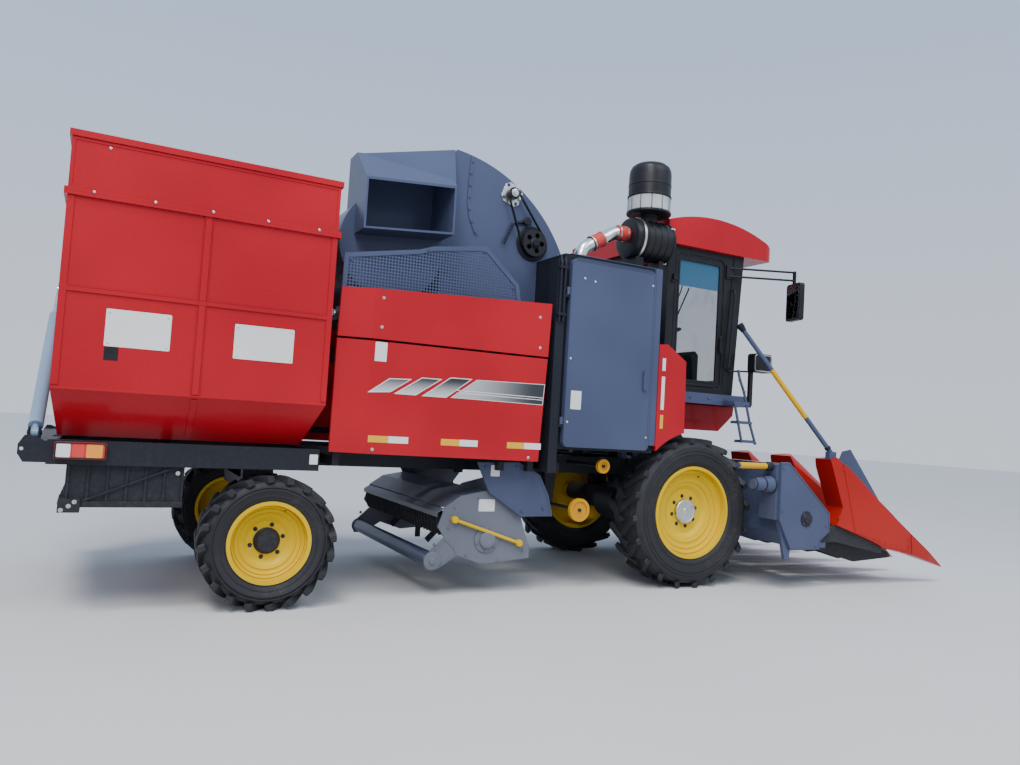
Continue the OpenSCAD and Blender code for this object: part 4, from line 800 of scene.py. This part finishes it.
def add_air_cleaner():
    shell = Group("air_cleaner", "black", bevel=0.001)
    bowl = Group("precleaner_bowl", CLEAR_PLASTIC)
    vanes = Group("precleaner_vanes", PALE_PLASTIC)
    pipe = Group("intake_pipe", ALUMINIUM)
    hose = Group("intake_sleeves", RED_RUBBER, bevel=0.003)
    clamps = Group("intake_clamps", ZINC)

    def sleeve(points, r=0.067):
        hose.tube([(x, FILTER_Y, z) for x, z in points], r, 32)

    shell.lathe((0, FILTER_Y, FILTER_Z), FORWARD, canister_profile(), 64)
    shell.lathe(NECK, UP, CLEANER_FOOT, 64)
    shell.lathe(NECK, UP, CLEANER_LID, 64)
    for angle in turns(12):
        shell.lathe(NECK + 0.190 * heading(angle), UP, [(0.006, 0.262), (0.006, 0.400)], 8)
    bowl.lathe(NECK, UP, CLEANER_BOWL, 64, closed=True)
    for angle in turns(24):
        turned = heading(angle + math.radians(40))
        a = NECK + 0.110 * heading(angle)
        b = a + 0.070 * turned
        across = 0.003 * Vector((-turned.y, turned.x, 0))
        vanes.prism([(p + s * across).xy for p, s in ((a, -1), (b, -1), (b, 1), (a, 1))], "z", 3.352, 3.468)
    vanes.lathe(NECK, UP, [(0.108, 0.268), (0.108, 0.392)], 48)
    # Brackets on the cabinet's top, and the band and catches of the canister
    shell.prism(rectangle(3.030, 3.110, 2.7603, 2.905), "y", -0.90, -0.70)
    shell.prism(rectangle(3.300, 3.350, 2.7603, 2.905), "y", -0.88, -0.72)
    band = [(0.1905, 0), (0.1935, 0), (0.1935, 0.022), (0.1905, 0.022)]
    clamps.lathe((3.050, FILTER_Y, FILTER_Z), FORWARD, band, 64, closed=True)
    for place in circle(FILTER_Y, FILTER_Z, 0.183, turns(3, math.radians(20))):
        clamps.lathe((3.405, *place), (-1, 0, 0), [(0.011, -0.006), (0.011, 0.030), (0.007, 0.034)], 10)
    bend = curve([(x, FILTER_Y, z) for x, z in PIPE_LINE])
    pipe.tube(bend, 0.058, 28)
    sleeve([(2.870, 3.106), (2.900, 3.110), (2.989, 3.110)])
    sleeve([(2.510, 2.7603), (2.510, 2.840)])
    sleeve([(point.x, point.z) for point in bend[13:19]], 0.066)
    clamped = (
        (Vector((2.885, FILTER_Y, 3.108)), (1, 0, 0.10)), (Vector((2.962, FILTER_Y, 3.110)), FORWARD),
        (Vector((2.510, FILTER_Y, 2.815)), UP),
        (bend[13], bend[14] - bend[13]), (bend[18], bend[18] - bend[17]),
    )
    ring = [(0.066, -0.006), (0.070, -0.006), (0.070, 0.006), (0.066, 0.006)]
    for place, axis in clamped:
        clamps.lathe(place, axis, ring, 32, closed=True)
        clamps.lathe(place - Vector((0, 0.070, 0)), UP, [(0.005, -0.014), (0.005, 0.014)], 8)
    for group in (shell, bowl, vanes, pipe, hose):
        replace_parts(group.finish(), "air_intake")


# Cab

CAB_FLOOR = 1.745
PLATFORM_TOP = CAB_FLOOR + 0.0405
CHANNELS = (-0.11, 0.11)
WHEEL_PLACE = Vector((4.092, 0.0, 2.400))
WHEEL_LEAN = Matrix.Rotation(math.radians(-20), 3, "Y")


def swollen(value, power):
    """A value from -1 to 1 pushed out towards its ends."""
    return math.copysign(abs(value) ** power, value)


def cushion(name, centre, half, lean=0.0):
    """A stuffed pad: crowned, with sides that pull in between its corners, sewn channels and piping."""
    mesh = bmesh.new()
    around, rows = 72, 24
    centre, turn = Vector(centre), Matrix.Rotation(lean, 3, "Y")
    grid = []
    for row in range(rows + 1):
        rise = -math.pi / 2 + math.pi * row / rows
        ring = []
        for angle in turns(around):
            breadth = abs(math.cos(rise)) ** 0.32
            pull = 1 - 0.05 * math.cos(2 * angle) ** 2 * breadth
            x = half[0] * breadth * swollen(math.cos(angle), 0.34) * pull
            y = half[1] * breadth * swollen(math.sin(angle), 0.34) * pull
            crown = 1 + 0.16 * (1 - (x / half[0]) ** 2) * (1 - (y / half[1]) ** 2)
            for channel in CHANNELS:
                crown -= 0.13 * math.exp(-((y - channel) / 0.008) ** 2)
            ring.append(Vector((x, y, half[2] * swollen(math.sin(rise), 0.55) * crown)))
        grid.append(ring)
    verts = [[mesh.verts.new(at(*(centre + turn @ point))) for point in ring] for ring in grid[1:-1]]
    for low, high in zip(verts, verts[1:]):
        for i in range(around):
            j = (i + 1) % around
            mesh.faces.new((low[i], low[j], high[j], high[i]))
    for ring, pole in ((verts[0], grid[0][0]), (verts[-1], grid[-1][0])):
        tip = mesh.verts.new(at(*(centre + turn @ Vector((0, 0, pole.z)))))
        for i in range(around):
            mesh.faces.new((ring[i], ring[(i + 1) % around], tip))
    bmesh.ops.recalc_face_normals(mesh, faces=mesh.faces)
    piece = placed(name, mesh, "seat")
    piece.data.shade_smooth()
    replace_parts(piece, "cab_seat")
    piping = Group(name + "_piping", "seat")
    middle = grid[rows // 2]
    piping.tube([centre + turn @ (point * 1.004) for point in middle + middle[:2]], 0.005, 8)
    return piece


def add_seat():
    base = Group("seat_base_and_column", "black", bevel=0.003)
    base.prism([(3.62, PLATFORM_TOP), (3.96, PLATFORM_TOP), (3.93, 1.845), (3.65, 1.845)], "y", -0.19, 0.19)
    # Bellows
    for i in range(5):
        low, middle, high = (1.850 + i * 0.036 + rise for rise in (0, 0.014, 0.028))
        fold = [(3.66, low), (3.92, low), (3.935, middle), (3.92, high), (3.66, high), (3.645, middle)]
        base.prism(fold, "y", -0.165, 0.165)
    base.box((3.63, -0.20, 2.030), (3.96, 0.20, 2.055))
    seat = cushion("seat_cushion", (3.800, 0, 2.100), (0.185, 0.218, 0.048))
    back = cushion("seat_back", (3.662, 0, 2.395), (0.245, 0.216, 0.046), math.radians(-84))
    for side in SIDES:
        arm_rest = [(3.70, 0.225, 2.11), (3.68, 0.232, 2.22), (3.72, 0.235, 2.27), (3.86, 0.235, 2.28)]
        base.tube(curve(mirrored(side, arm_rest)), 0.016, 10)
    # Steering column
    base.tube([(4.187, 0, 1.790), (4.102, 0, 2.390)], 0.038, 20)
    base.lathe((4.187, 0, PLATFORM_TOP), UP, [(0.062, 0), (0.058, 0.03), (0.044, 0.05)], 24)
    return base.finish()


def add_steering_wheel():
    rim = Group("steering_wheel", "black")
    rim.tube([WHEEL_PLACE + WHEEL_LEAN @ (0.176 * heading(a * math.pi / 24)) for a in range(50)], 0.014, 12)
    for angle in turns(3):
        rim.tube([WHEEL_PLACE, WHEEL_PLACE + WHEEL_LEAN @ (0.170 * heading(angle))], 0.009, 8)
    rim.lathe(WHEEL_PLACE, WHEEL_LEAN @ Vector(UP), [(0.045, -0.016), (0.045, 0.010), (0.034, 0.018)], 28)
    return rim.finish()


def add_cab_inside():
    for piece in (add_seat(), add_steering_wheel()):
        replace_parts(piece, "cab_seat")
    # Console at the driver's right hand and the panel under the windscreen
    desk = Group("cab_console", "black", bevel=0.006)
    console = [(3.66, PLATFORM_TOP), (4.06, PLATFORM_TOP), (4.06, 2.10), (3.98, 2.20), (3.66, 2.16)]
    desk.prism(console, "y", 0.30, 0.52)
    for x, lean in ((3.80, 0.03), (3.88, 0.02), (3.95, 0.03)):
        desk.tube([(x, 0.41, 2.17), (x + lean, 0.40, 2.33)], 0.008, 8)
        knob = [(0.008, 0), (0.020, 0.012), (0.022, 0.030), (0.012, 0.046)]
        desk.lathe((x + lean, 0.40, 2.325), UP, knob, 16)
    desk.prism([(4.20, 1.90), (4.262, 1.90), (4.262, 2.16), (4.22, 2.20), (4.17, 2.15)], "y", -0.36, 0.36)


# The front's lean per metre of height, and the outlines of the windscreen's seal in Y and Z
FRONT_LEAN = 0.080 / 1.365
SEAL_OUTER = rounded((-0.735, 1.880), (0.735, 3.065), 0.06)
SEAL_INNER = rounded((-0.712, 1.903), (0.712, 3.042), 0.05)
GRAB_RAIL = (
    (4.222, 0.792, 2.000), (4.228, 0.835, 2.030), (4.240, 0.840, 2.250), (4.262, 0.840, 2.640),
    (4.268, 0.835, 2.750), (4.270, 0.792, 2.780),
)


def add_cab_door_parts():
    seal = Group("cab_door_seal", "black", "cab_access", 0.001)
    band = Group("door_sun_band", SUN_BAND, "cab_access")
    seal.edging(rounded((3.610, 1.855), (4.120, 3.000), 0.04), -0.006, 0.012, RIGHT, 0.7745, 0.016)
    seal.edging(rounded((3.565, 1.810), (4.165, 3.045), 0.055), 0.004, 0.013, RIGHT, 0.7862, 0.0033)
    seal.boss(4.141, 2.300, RIGHT, 0.810, [(0.013, 0), (0.013, 0.006), (0.009, 0.010)], 20)
    # Tinted band across the top of the door's glass
    band.flat(rounded((3.613, 2.745), (4.117, 2.997), 0.035), RIGHT, 0.7742, 0.0013)


def add_cab_outside():
    seals = Group("cab_seals", "black", bevel=0.001)
    trim = Group("cab_rails", "frame")
    arm = Group("windscreen_wiper", "black")
    lamps = Group("roof_lamps", CLEAR_LENS, bevel=0.002)
    shell = Group("roof_lamp_frames", "black", bevel=0.001)
    seals.edging(rounded((3.560, 1.900), (4.170, 3.050), 0.06), -0.008, 0.012, LEFT, 0.7855, 0.008)
    # Seal round the windscreen, on the leaning front
    section = ((SEAL_OUTER, 0.001), (SEAL_OUTER, 0.009), (SEAL_INNER, 0.009), (SEAL_INNER, 0.001))
    seals.skin([
        [(4.330 + FRONT_LEAN * (z - CAB_FLOOR) + reach, y, z) for y, z in line] for line, reach in section
    ], closed=True)
    # Wiper
    arm.lathe((4.408, 0.10, 3.082), FORWARD, [(0.020, 0), (0.020, 0.016), (0.014, 0.022)], 20)
    arm.tube([(4.428, 0.10, 3.082), (4.424, 0.16, 2.900), (4.404, 0.33, 2.560)], 0.006, 8)
    arm.tube([(4.421, 0.02, 2.920), (4.384, 0.42, 2.200)], 0.007, 8)
    # Grab rails and strips on the front pillars
    for side in SIDES:
        trim.tube(curve(mirrored(side, GRAB_RAIL)), 0.011, 12)
        trim.flat([(4.196, 1.83), (4.206, 1.83), (4.290, 3.10), (4.280, 3.10)], side, 0.790, 0.007)
        trim.tube(mirrored(side, [(4.260, 0.800, 1.985), (4.422, 0.905, 1.990)]), 0.009, 10)
    # Aerial
    trim.tube([(3.516, -0.700, 3.375), (3.500, -0.700, 3.452)], 0.004, 8)
    trim.lathe((3.518, -0.700, 3.352), UP, [(0.014, 0), (0.014, 0.016), (0.008, 0.026)], 16)
    # Lamps in the roof's front edge
    for y in (-0.56, 0.56):
        opening = rounded((y - 0.092, 3.172), (y + 0.092, 3.220), 0.014)
        shell.frame(rounded((y - 0.105, 3.160), (y + 0.105, 3.232), 0.02), opening, "x", 4.772, 4.800)
        lamps.prism(rounded((y - 0.094, 3.170), (y + 0.094, 3.222), 0.014), "x", 4.770, 4.794)


MIRROR = rounded((-0.095, 2.545), (0.095, 2.860), 0.026)


def add_mirrors_and_deck():
    mirrors = Group("mirror_faces", MIRROR_FACE)
    lenses = Group("deck_lamp_lenses", CLEAR_LENS, bevel=0.002)
    amber = Group("deck_markers", AMBER_LENS)
    rims = Group("deck_lamp_rims", ZINC, bevel=0.001)
    screws = Group("deck_screws", "slate")
    treads = Group("grip_strips", "frame")
    marker = rounded((4.408, 1.993), (4.622, 2.157), 0.026)
    for side in SIDES:
        # Mirror glass on the face that looks back
        back = -heading(side * math.radians(15))
        out = Vector((back.y, -back.x, 0))
        place = Vector((4.850, side * 1.050, 0))
        mirrors.skin([
            [place + depth * back + a * out + b * Vector(UP) for a, b in MIRROR] for depth in (0.0256, 0.0276)
        ])
        # Deck lamps: main lens to the front, marker to the side
        low, high = span(side, 0.925, 0.980)
        outline = rounded((low, 2.005), (high, 2.145), 0.022)
        lenses.prism(shrunk(outline, 0.004), "x", 4.630, 4.638)
        rims.frame(shrunk(outline, -0.008), shrunk(outline, 0.005), "x", 4.6302, 4.644)
        rims.edging(marker, 0, 0.010, side, 0.9952, 0.0048)
        dome = [(0.026, 0), (0.026, 0.006), (0.018, 0.012), (0.006, 0.014)]
        amber.boss(4.560, 2.087, side, 0.9952, dome, 28)
        screws.bolts([(x, 1.700) for x in (3.50, 3.72, 3.94, 4.16, 4.38)], side, 0.9002, 0.009)
    # Grip strips on the treads and the deck
    for rear, z in ((4.175, 1.502), (4.232, 1.327)):
        for i in range(5):
            y = -1.050 + 0.020 * i
            treads.box((rear, y, z), (rear + 0.155, y + 0.007, z + 0.004))
    for i in range(16):
        x = 4.345 + 0.0085 * i
        treads.box((x, -0.88, 1.7448), (x + 0.003, 0.88, 1.7478))


# Bin and tail

BIN_Y = 1.170
BIN_BOLTS = (-1.209, -0.870, -0.529, -0.184, 0.155)
BIN_BOARD = rectangle(-1.349, 0.289, 2.6025, 2.9145)
# The rolled edge along the fold, and the side's rib going on down the sloping wall, in Y and Z
FOLD_EDGE = ((1.169, 1.407), (1.174, 1.405), (1.1745, 1.397), (1.171, 1.391), (1.163, 1.391))
SLOPE_RIB = ((1.1535, 1.384), (0.9135, 1.126), (0.9185, 1.121), (1.1585, 1.379))
BIN_PLATES = (((-1.088, 1.671), (-0.720, 1.900)), ((-0.340, 1.663), (0.043, 1.890)))


def add_bin_parts():
    screws = Group("bin_screws", ZINC, "cob_bin")
    plates = Group("bin_blank_plates", PLAIN_WHITE, "cob_bin", 0.0005)
    pads = Group("bin_fittings", "red", "cob_bin", 0.001)
    for side in SIDES:
        screws.rivets([(x, 2.591) for x in BIN_BOLTS], side, 1.1885, 0.010)
        screws.rivets([(-1.142, 2.880)], side, BIN_Y, 0.010)
        # Folded posts at the corners, the lip along the board's edges, and seams
        for x0, x1 in ((-1.348, -1.309), (0.250, 0.288)):
            pads.flat(rectangle(x0, x1, 1.420, 2.556), side, BIN_Y, 0.0065)
        pads.edging(BIN_BOARD, 0, 0.020, side, BIN_Y, 0.004)
        for x in (-0.575, -0.525):
            pads.flat(rectangle(x - 0.002, x + 0.002, 1.412, 2.556), side, 1.177, 0.002)
        for z in (1.985, 2.015):
            pads.flat(rectangle(-1.308, 0.249, z - 0.002, z + 0.002), side, 1.177, 0.002)
        pads.prism([(side * y, z) for y, z in FOLD_EDGE], "x", -1.344, 0.284)
        pads.prism([(side * y, z) for y, z in SLOPE_RIB], "x", -0.570, -0.530)
    for low, high in BIN_PLATES:
        plates.flat(rounded(low, high, 0.008), SEEN, BIN_Y, 0.002)
        corners = [(x, z) for x in (low[0] + 0.02, high[0] - 0.02) for z in (low[1] + 0.02, high[1] - 0.02)]
        screws.rivets(corners, SEEN, BIN_Y + 0.002, 0.006)
    for i in range(5):
        y = -0.96 + i * 0.48
        screws.rivet((-1.3685, y, 2.591), (-1, 0, 0), 0.012)
        screws.rivet((0.3085, y, 2.591), FORWARD, 0.012)
    for i in range(5):
        y = -0.80 + 0.40 * i
        pads.prism(rectangle(y - 0.02, y + 0.02, 1.42, 2.55), "x", -1.3575, -1.3502)


TAIL_Y = 1.1004
TAIL_LAMP = rounded((-1.298, 0.978), (-1.022, 1.078), 0.014)


def add_tail_parts():
    clear = Group("tail_lens_clear", CLEAR_LENS, bevel=0.002)
    red = Group("tail_lens_red", "lamp", bevel=0.002)
    amber = Group("tail_lens_amber", AMBER_LENS, bevel=0.002)
    frames = Group("tail_lamp_frames", "black", bevel=0.001)
    hole_shade = Group("brace_hole_shade", "black")
    screws = Group("tail_screws", ZINC)
    for side in SIDES:
        for group, x0, x1 in ((clear, -1.290, -1.214), (red, -1.206, -1.138), (amber, -1.130, -1.040)):
            group.flat(rounded((x0, 0.986), (x1, 1.068), 0.008), side, TAIL_Y, 0.006)
        frames.edging(TAIL_LAMP, 0, 0.007, side, TAIL_Y, 0.009)
        # Row of holes along the brace, drawn as thin black discs: painted shade for the dark space seen through
        # the holes
        for i in range(9):
            t = (i + 0.5) / 9
            x, z = -1.150 + t * 0.525, 0.730 + t * 0.198
            hole_shade.boss(x, z, side, 1.0441, [(0.0035, 0), (0.0035, 0.0006)], 12)
        screws.bolts([(-1.20, 0.69)], side, 1.0602, 0.008)
        screws.bolts([(-0.60, 0.90)], side, 1.0362, 0.008)
        screws.bolts([(-1.24, 0.665), (-1.17, 0.715)], side, 1.0602, 0.008)
    # Bolts and reflectors across the rear beam
    for y in (-0.9, -0.45, 0.45, 0.9):
        screws.bolt((-1.4602, y, 1.015), (-1, 0, 0), 0.012)
        screws.bolt((-1.2602, y, 0.690), (-1, 0, 0), 0.010)
    for y in (-0.70, 0.70):
        red.lathe((-1.2604, y, 0.690), (-1, 0, 0), [(0.032, 0), (0.032, 0.006), (0.024, 0.009)], 32)


# Straw chopper

CHOPPER_Y = 0.9502
ROTOR, ROLLER = (1.690, 0.430), (1.240, 0.275)
ROTOR_BEARING = [(0.105, 0), (0.105, 0.008), (0.070, 0.012), (0.066, 0.030), (0.052, 0.036), (0.030, 0.036)]
ROLLER_BEARING = [(0.070, 0), (0.070, 0.010), (0.060, 0.013), (0.030, 0.014), (0.026, 0.022), (0.016, 0.024)]
CHOPPER_SCREWS = (
    (1.40, 0.68), (1.60, 0.75), (1.83, 0.72), (1.93, 0.60), (2.02, 0.34), (1.36, 0.52), (1.80, 0.27),
    (1.52, 0.31), (1.25, 0.40),
)
ROLLER_ARM = [(1.180, 0.300), (1.196, 0.216), (1.286, 0.216), (1.446, 0.316), (1.420, 0.372), (1.336, 0.442)]
STRUT_ENDS = ((1.400, 0.588), (1.975, 0.400))
LEDGE = [(1.318, 0.672), (1.262, 0.640), (1.262, 0.604), (1.268, 0.604), (1.268, 0.636), (1.321, 0.666)]
TINE = [(1.270, 0.636), (1.300, 0.640), (1.312, 0.540), (1.338, 0.470), (1.300, 0.462), (1.278, 0.540)]
TINES = 30


def add_chopper_parts():
    grey = Group("chopper_fittings", "plate", "chopper", 0.0012)
    yellow = Group("chopper_strut", "rim_yellow", "chopper", 0.002)
    screws = Group("chopper_screws", "plate", "chopper")
    knives = Group("chopper_tines", "frame", "chopper", 0.001)
    for side in SIDES:
        grey.boss(*ROTOR, side, CHOPPER_Y, ROTOR_BEARING, 40)
        grey.boss(*ROLLER, side, CHOPPER_Y, ROLLER_BEARING, 40)
        screws.bolts(circle(*ROTOR, 0.088, turns(6, 0.3)), side, CHOPPER_Y + 0.008, 0.008)
        screws.bolts(circle(*ROLLER, 0.044, turns(3, 0.5)), side, CHOPPER_Y + 0.008, 0.005)
        screws.bolts(CHOPPER_SCREWS, side, CHOPPER_Y, 0.008)
        # Edge of the roller's arm, and the strut across the plate
        grey.edging(ROLLER_ARM, 0, 0.010, side, CHOPPER_Y, 0.004)
        yellow.tube([(x, side * 0.972, z) for x, z in STRUT_ENDS], 0.013, 16)
        for x, z in STRUT_ENDS:
            yellow.boss(x, z, side, CHOPPER_Y, [(0.028, 0), (0.028, 0.034), (0.022, 0.040)], 20)
    # Ledge at the rear of the hood, with hanging tines
    grey.prism(LEDGE, "y", -0.936, 0.936)
    for i in range(TINES):
        y = -0.90 + i * 1.80 / (TINES - 1)
        knives.prism(TINE, "y", y - 0.004, y + 0.004)


# Header

ROW_PITCH, ROWS = 0.560, 5
FLIGHT_INNER, FLIGHT_OUTER, FLIGHT_PITCH, FLIGHT_STEPS = 0.084, 0.190, 0.260, 28
AUGER_X, AUGER_Z = 4.670, 0.650
AUGER_TUBE = [
    (0.025, 0), (0.025, 0.038), (0.060, 0.042), (0.085, 0.050), (0.085, 2.846), (0.060, 2.854),
    (0.025, 2.858), (0.025, 2.896),
]


def add_auger():
    flights = Group("auger_flights", WORN_STEEL, "auger")
    tube = Group("auger_tube", "plate", "auger", 0.001)
    # A flight's section: radius and half thickness
    section = ((FLIGHT_INNER, -0.003), (FLIGHT_OUTER, -0.0015), (FLIGHT_OUTER, 0.0015), (FLIGHT_INNER, 0.003))
    for side in SIDES:
        rings = []
        for i in range(int(1.06 / FLIGHT_PITCH * FLIGHT_STEPS) + 1):
            angle = 2 * math.pi * i / FLIGHT_STEPS * side
            y = side * (1.385 - FLIGHT_PITCH * i / FLIGHT_STEPS)
            x, z = math.cos(angle), math.sin(angle)
            rings.append([(AUGER_X + r * x, y + shift, AUGER_Z + r * z) for r, shift in section])
        flights.skin(rings)
    # Paddles in the middle
    for angle in turns(4, math.pi / 4):
        out, across = (math.cos(angle), math.sin(angle)), (-math.sin(angle), math.cos(angle))
        flights.prism([
            (AUGER_X + r * out[0] + s * across[0], AUGER_Z + r * out[1] + s * across[1])
            for r, s in ((0.080, -0.003), (0.165, -0.003), (0.165, 0.003), (0.080, 0.003))
        ], "y", -0.27, 0.27)
    tube.lathe((AUGER_X, -1.448, AUGER_Z), (0, 1, 0), AUGER_TUBE, 48)
    for group in (flights, tube):
        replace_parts(group.finish(), "header_auger")


HEADER_Y = 1.4502
AUGER_BEARING = [(0.070, 0), (0.070, 0.008), (0.046, 0.013), (0.040, 0.024), (0.026, 0.026)]
END_PLATE = [
    (4.330, 1.150), (4.435, 1.155), (4.975, 0.700), (4.980, 0.535), (4.870, 0.455), (4.850, 0.370),
    (4.485, 0.370), (4.330, 0.640),
]
SNOUT_PANEL = [
    (5.130, 1.165), (5.225, 1.120), (5.955, 0.612), (6.080, 0.524), (6.100, 0.320), (5.760, 0.390),
    (5.610, 0.448), (5.330, 0.520),
]
SNOUT_RIVETS = [(5.60 + 0.50 * i / 6, 0.464 - 0.118 * i / 6) for i in range(7)]
TIP_JOINT = [(6.150, 0.492), (6.172, 0.480), (6.190, 0.300), (6.168, 0.300)]
PUSH_BAR = ((5.010, 1.405, 1.262), (4.260, 0.950, 2.400))
CHANNEL = [(4.3995, 1.1305), (4.470, 1.1305), (4.470, 1.110), (4.476, 1.110), (4.476, 1.138), (4.3995, 1.138)]
BRACKET = [(6.080, 0.566), (6.215, 0.476), (6.219, 0.482), (6.084, 0.573)]
SHAFT_Y = -1.360


def add_push_bar_parts(side, bands, caps):
    """The yellow band on a push bar, and the collars at its ends."""
    foot, top = (Vector(point) for point in mirrored(side, PUSH_BAR))
    along = (top - foot).normalized()
    length = (top - foot).length
    bands.tube([foot + along * length * share for share in (0.275, 0.655)], 0.0235, 20)
    for place in (foot + along * 0.05, top - along * 0.03):
        caps.lathe(place, along, [(0.026, -0.014), (0.028, -0.010), (0.028, 0.010), (0.026, 0.014)], 20)
    caps.lathe(top, along, [(0.030, -0.02), (0.034, 0.0), (0.034, 0.030), (0.020, 0.036)], 20)


def add_header_parts():
    screws = Group("header_screws", "slate", "header")
    highlight_channel = Group("trough_channel", HIGHLIGHT_SHEET, "header", 0.001)
    bands = Group("header_bands", BAND_YELLOW, "header")
    red = Group("snout_panels", "snout_red", "header", 0.002)
    dark = Group("auger_bearings", "frame", "header", 0.001)
    caps = Group("header_caps", "frame", "header", 0.001)
    grey = Group("header_lips", "slate", "header", 0.001)
    for side in SIDES:
        dark.boss(AUGER_X, AUGER_Z, side, HEADER_Y, AUGER_BEARING, 36)
        screws.bolts(circle(AUGER_X, AUGER_Z, 0.056, turns(4, math.pi / 4)), side, HEADER_Y + 0.008, 0.007)
        screws.bolts(((4.36, 1.10), (4.36, 0.72), (4.93, 0.58), (4.80, 0.40)), side, HEADER_Y, 0.008)
        # Folded lip round the end plate
        grey.edging(END_PLATE, 0.003, 0.014, side, HEADER_Y, 0.003)
        # Raised panel on the outer snout, with its row of rivets, and the joint of the tip
        red.flat(SNOUT_PANEL, side, HEADER_Y, 0.0033)
        red.flat(TIP_JOINT, side, HEADER_Y, 0.0063)
        red.rivets(SNOUT_RIVETS, side, HEADER_Y + 0.0034, 0.009)
        red.bolts(((5.10, 0.66), (5.15, 1.10), (6.12, 0.44), (6.12, 0.37)), side, HEADER_Y, 0.009)
        add_push_bar_parts(side, bands, caps)
    # Top channel of the trough, in very bright sheet: a painted highlight for the light falling on its upper face
    highlight_channel.prism(CHANNEL, "y", -1.4245, 1.4245)
    # Yellow sleeve of the shaft guard, and bands of the cone guard
    bands.tube([(3.915, SHAFT_Y, 1.110), (4.230, SHAFT_Y, 1.110)], 0.027, 24)
    caps.lathe((4.235, SHAFT_Y, 1.110), FORWARD, [(0.030, 0), (0.040, 0.012), (0.040, 0.060)], 24)
    for x, r in ((4.090, 0.0475), (4.190, 0.0635), (4.285, 0.0795)):
        ring = [(r, 0), (r + 0.003, 0.002), (r + 0.006, 0.012), (r, 0.012)]
        caps.lathe((x, SHAFT_Y, 0.950), FORWARD, ring, 32, closed=True)
    # Bracket that holds each tip, over the joint
    for k in range(ROWS + 1):
        y = max(-1.335, min(1.335, ROW_PITCH * (k - ROWS / 2)))
        grey.prism(BRACKET, "y", y - 0.026, y + 0.026)
        for x, z in ((6.105, 0.560), (6.190, 0.503)):
            screws.bolt((x, y, z), (0.56, 0, 0.83), 0.007)
    # Sprocket at the front of each gathering chain
    for k in range(ROWS):
        for side in SIDES:
            y = ROW_PITCH * (k - (ROWS - 1) / 2) + side * 0.090
            caps.lathe((6.035, y, 0.3165), (0.22, 0, 0.975), [(0.050, 0), (0.050, 0.010), (0.020, 0.014)], 24)


# Blank plates, where the photograph shows labels on the seen side

BLANK_PLATES = (
    # name, body, opposite corners, corner radius, distance of the face
    ("blank_plate_body", "machine", (0.612, 1.735), (0.700, 1.872), 0.006, PANEL_Y),
    ("blank_plate_deflector", "machine", (1.670, 0.930), (1.748, 1.018), 0.004, DEFLECTOR_Y),
    ("blank_plate_side_door_right", "side_door_right", (2.262, 1.497), (2.362, 1.647), 0.006, DOOR_Y),
    ("blank_plate_rail", "machine", (0.232, 0.985), (0.290, 1.053), 0.004, 1.060),
    ("chopper_blank_plate", "chopper", (1.606, 0.650), (1.746, 0.745), 0.006, CHOPPER_Y),
    ("bin_dark_plate", "cob_bin", (-1.083, 1.586), (-1.005, 1.668), 0.004, BIN_Y),
)


def add_blank_plates():
    for name, body, low, high, r, face in BLANK_PLATES:
        look = PAINT["black"] if "dark" in name else PLAIN_WHITE
        Group(name, look, body, 0.0004).flat(rounded(low, high, r), SEEN, face, FILM)


# Floor and light

LAMPS = (
    # name, place, aim, width, power, colour
    ("key", (-6.0, -9.0, 10.0), (0.0, 0.0, 1.2), 6.0, 900, (1.0, 0.985, 0.96)),
    ("fill", (4.0, -8.0, 11.0), (1.0, 0.0, 1.0), 7.0, 500, (0.96, 0.98, 1.0)),
)


def add_floor():
    bpy.ops.mesh.primitive_plane_add(size=120, location=(0, 0, 0))
    floor = bpy.context.object
    floor.name = "studio_floor"
    look = Look("floor_concrete")
    broad = look.noise(0.35, 5.0)
    tone = look.blend(broad, (0.56, 0.55, 0.53), (0.63, 0.62, 0.60))
    normal = look.bump(look.noise(60.0, 5.0), 0.1, 0.001)
    floor.data.materials.append(look.surface(tone, look.ramp(broad, 0.2, 0.8, 0.8, 0.95), normal))


def add_light(kind, name, aim, energy, colour):
    """A light that shines along a direction."""
    data = bpy.data.lights.new(name, kind)
    data.energy = energy
    data.color = colour
    lamp = link(name, data)
    lamp.rotation_euler = aim.to_track_quat("-Z", "Y").to_euler()
    return lamp


def add_studio():
    world = bpy.context.scene.world or bpy.data.worlds.new("world")
    bpy.context.scene.world = world
    sky = Look("sky", world, "Background", "Generated")
    tone = sky.blend(sky.ramp(sky.along("Z"), -0.05, 0.6), (0.80, 0.87, 0.97), (0.54, 0.70, 0.98))
    sky.feed(sky.shader, {"Color": tone, "Strength": 1.0})
    for name, place, aim, width, power, colour in LAMPS:
        lamp = add_light("AREA", name, Vector(aim) - Vector(place), power, colour)
        lamp.location = place
        lamp.data.shape = "DISK"
        lamp.data.size = width
    sun = add_light("SUN", "sun", Vector((0.35, 0.35, -1.0)), 1.6, (1.0, 0.98, 0.95))
    sun.data.angle = math.radians(14)


add_camera()
add_floor()
add_studio()
dress_cad()
add_side_trim()
add_guards()
add_doors()
for wheel in WHEELS:
    for wheel_side in SIDES:
        add_wheel_parts(*wheel, wheel_side)
add_elevator_parts()
add_air_cleaner()
add_cab_inside()
add_cab_door_parts()
add_cab_outside()
add_mirrors_and_deck()
add_bin_parts()
add_tail_parts()
add_chopper_parts()
add_auger()
add_header_parts()
add_blank_plates()
for unfinished in list(Group.waiting):
    unfinished.finish()
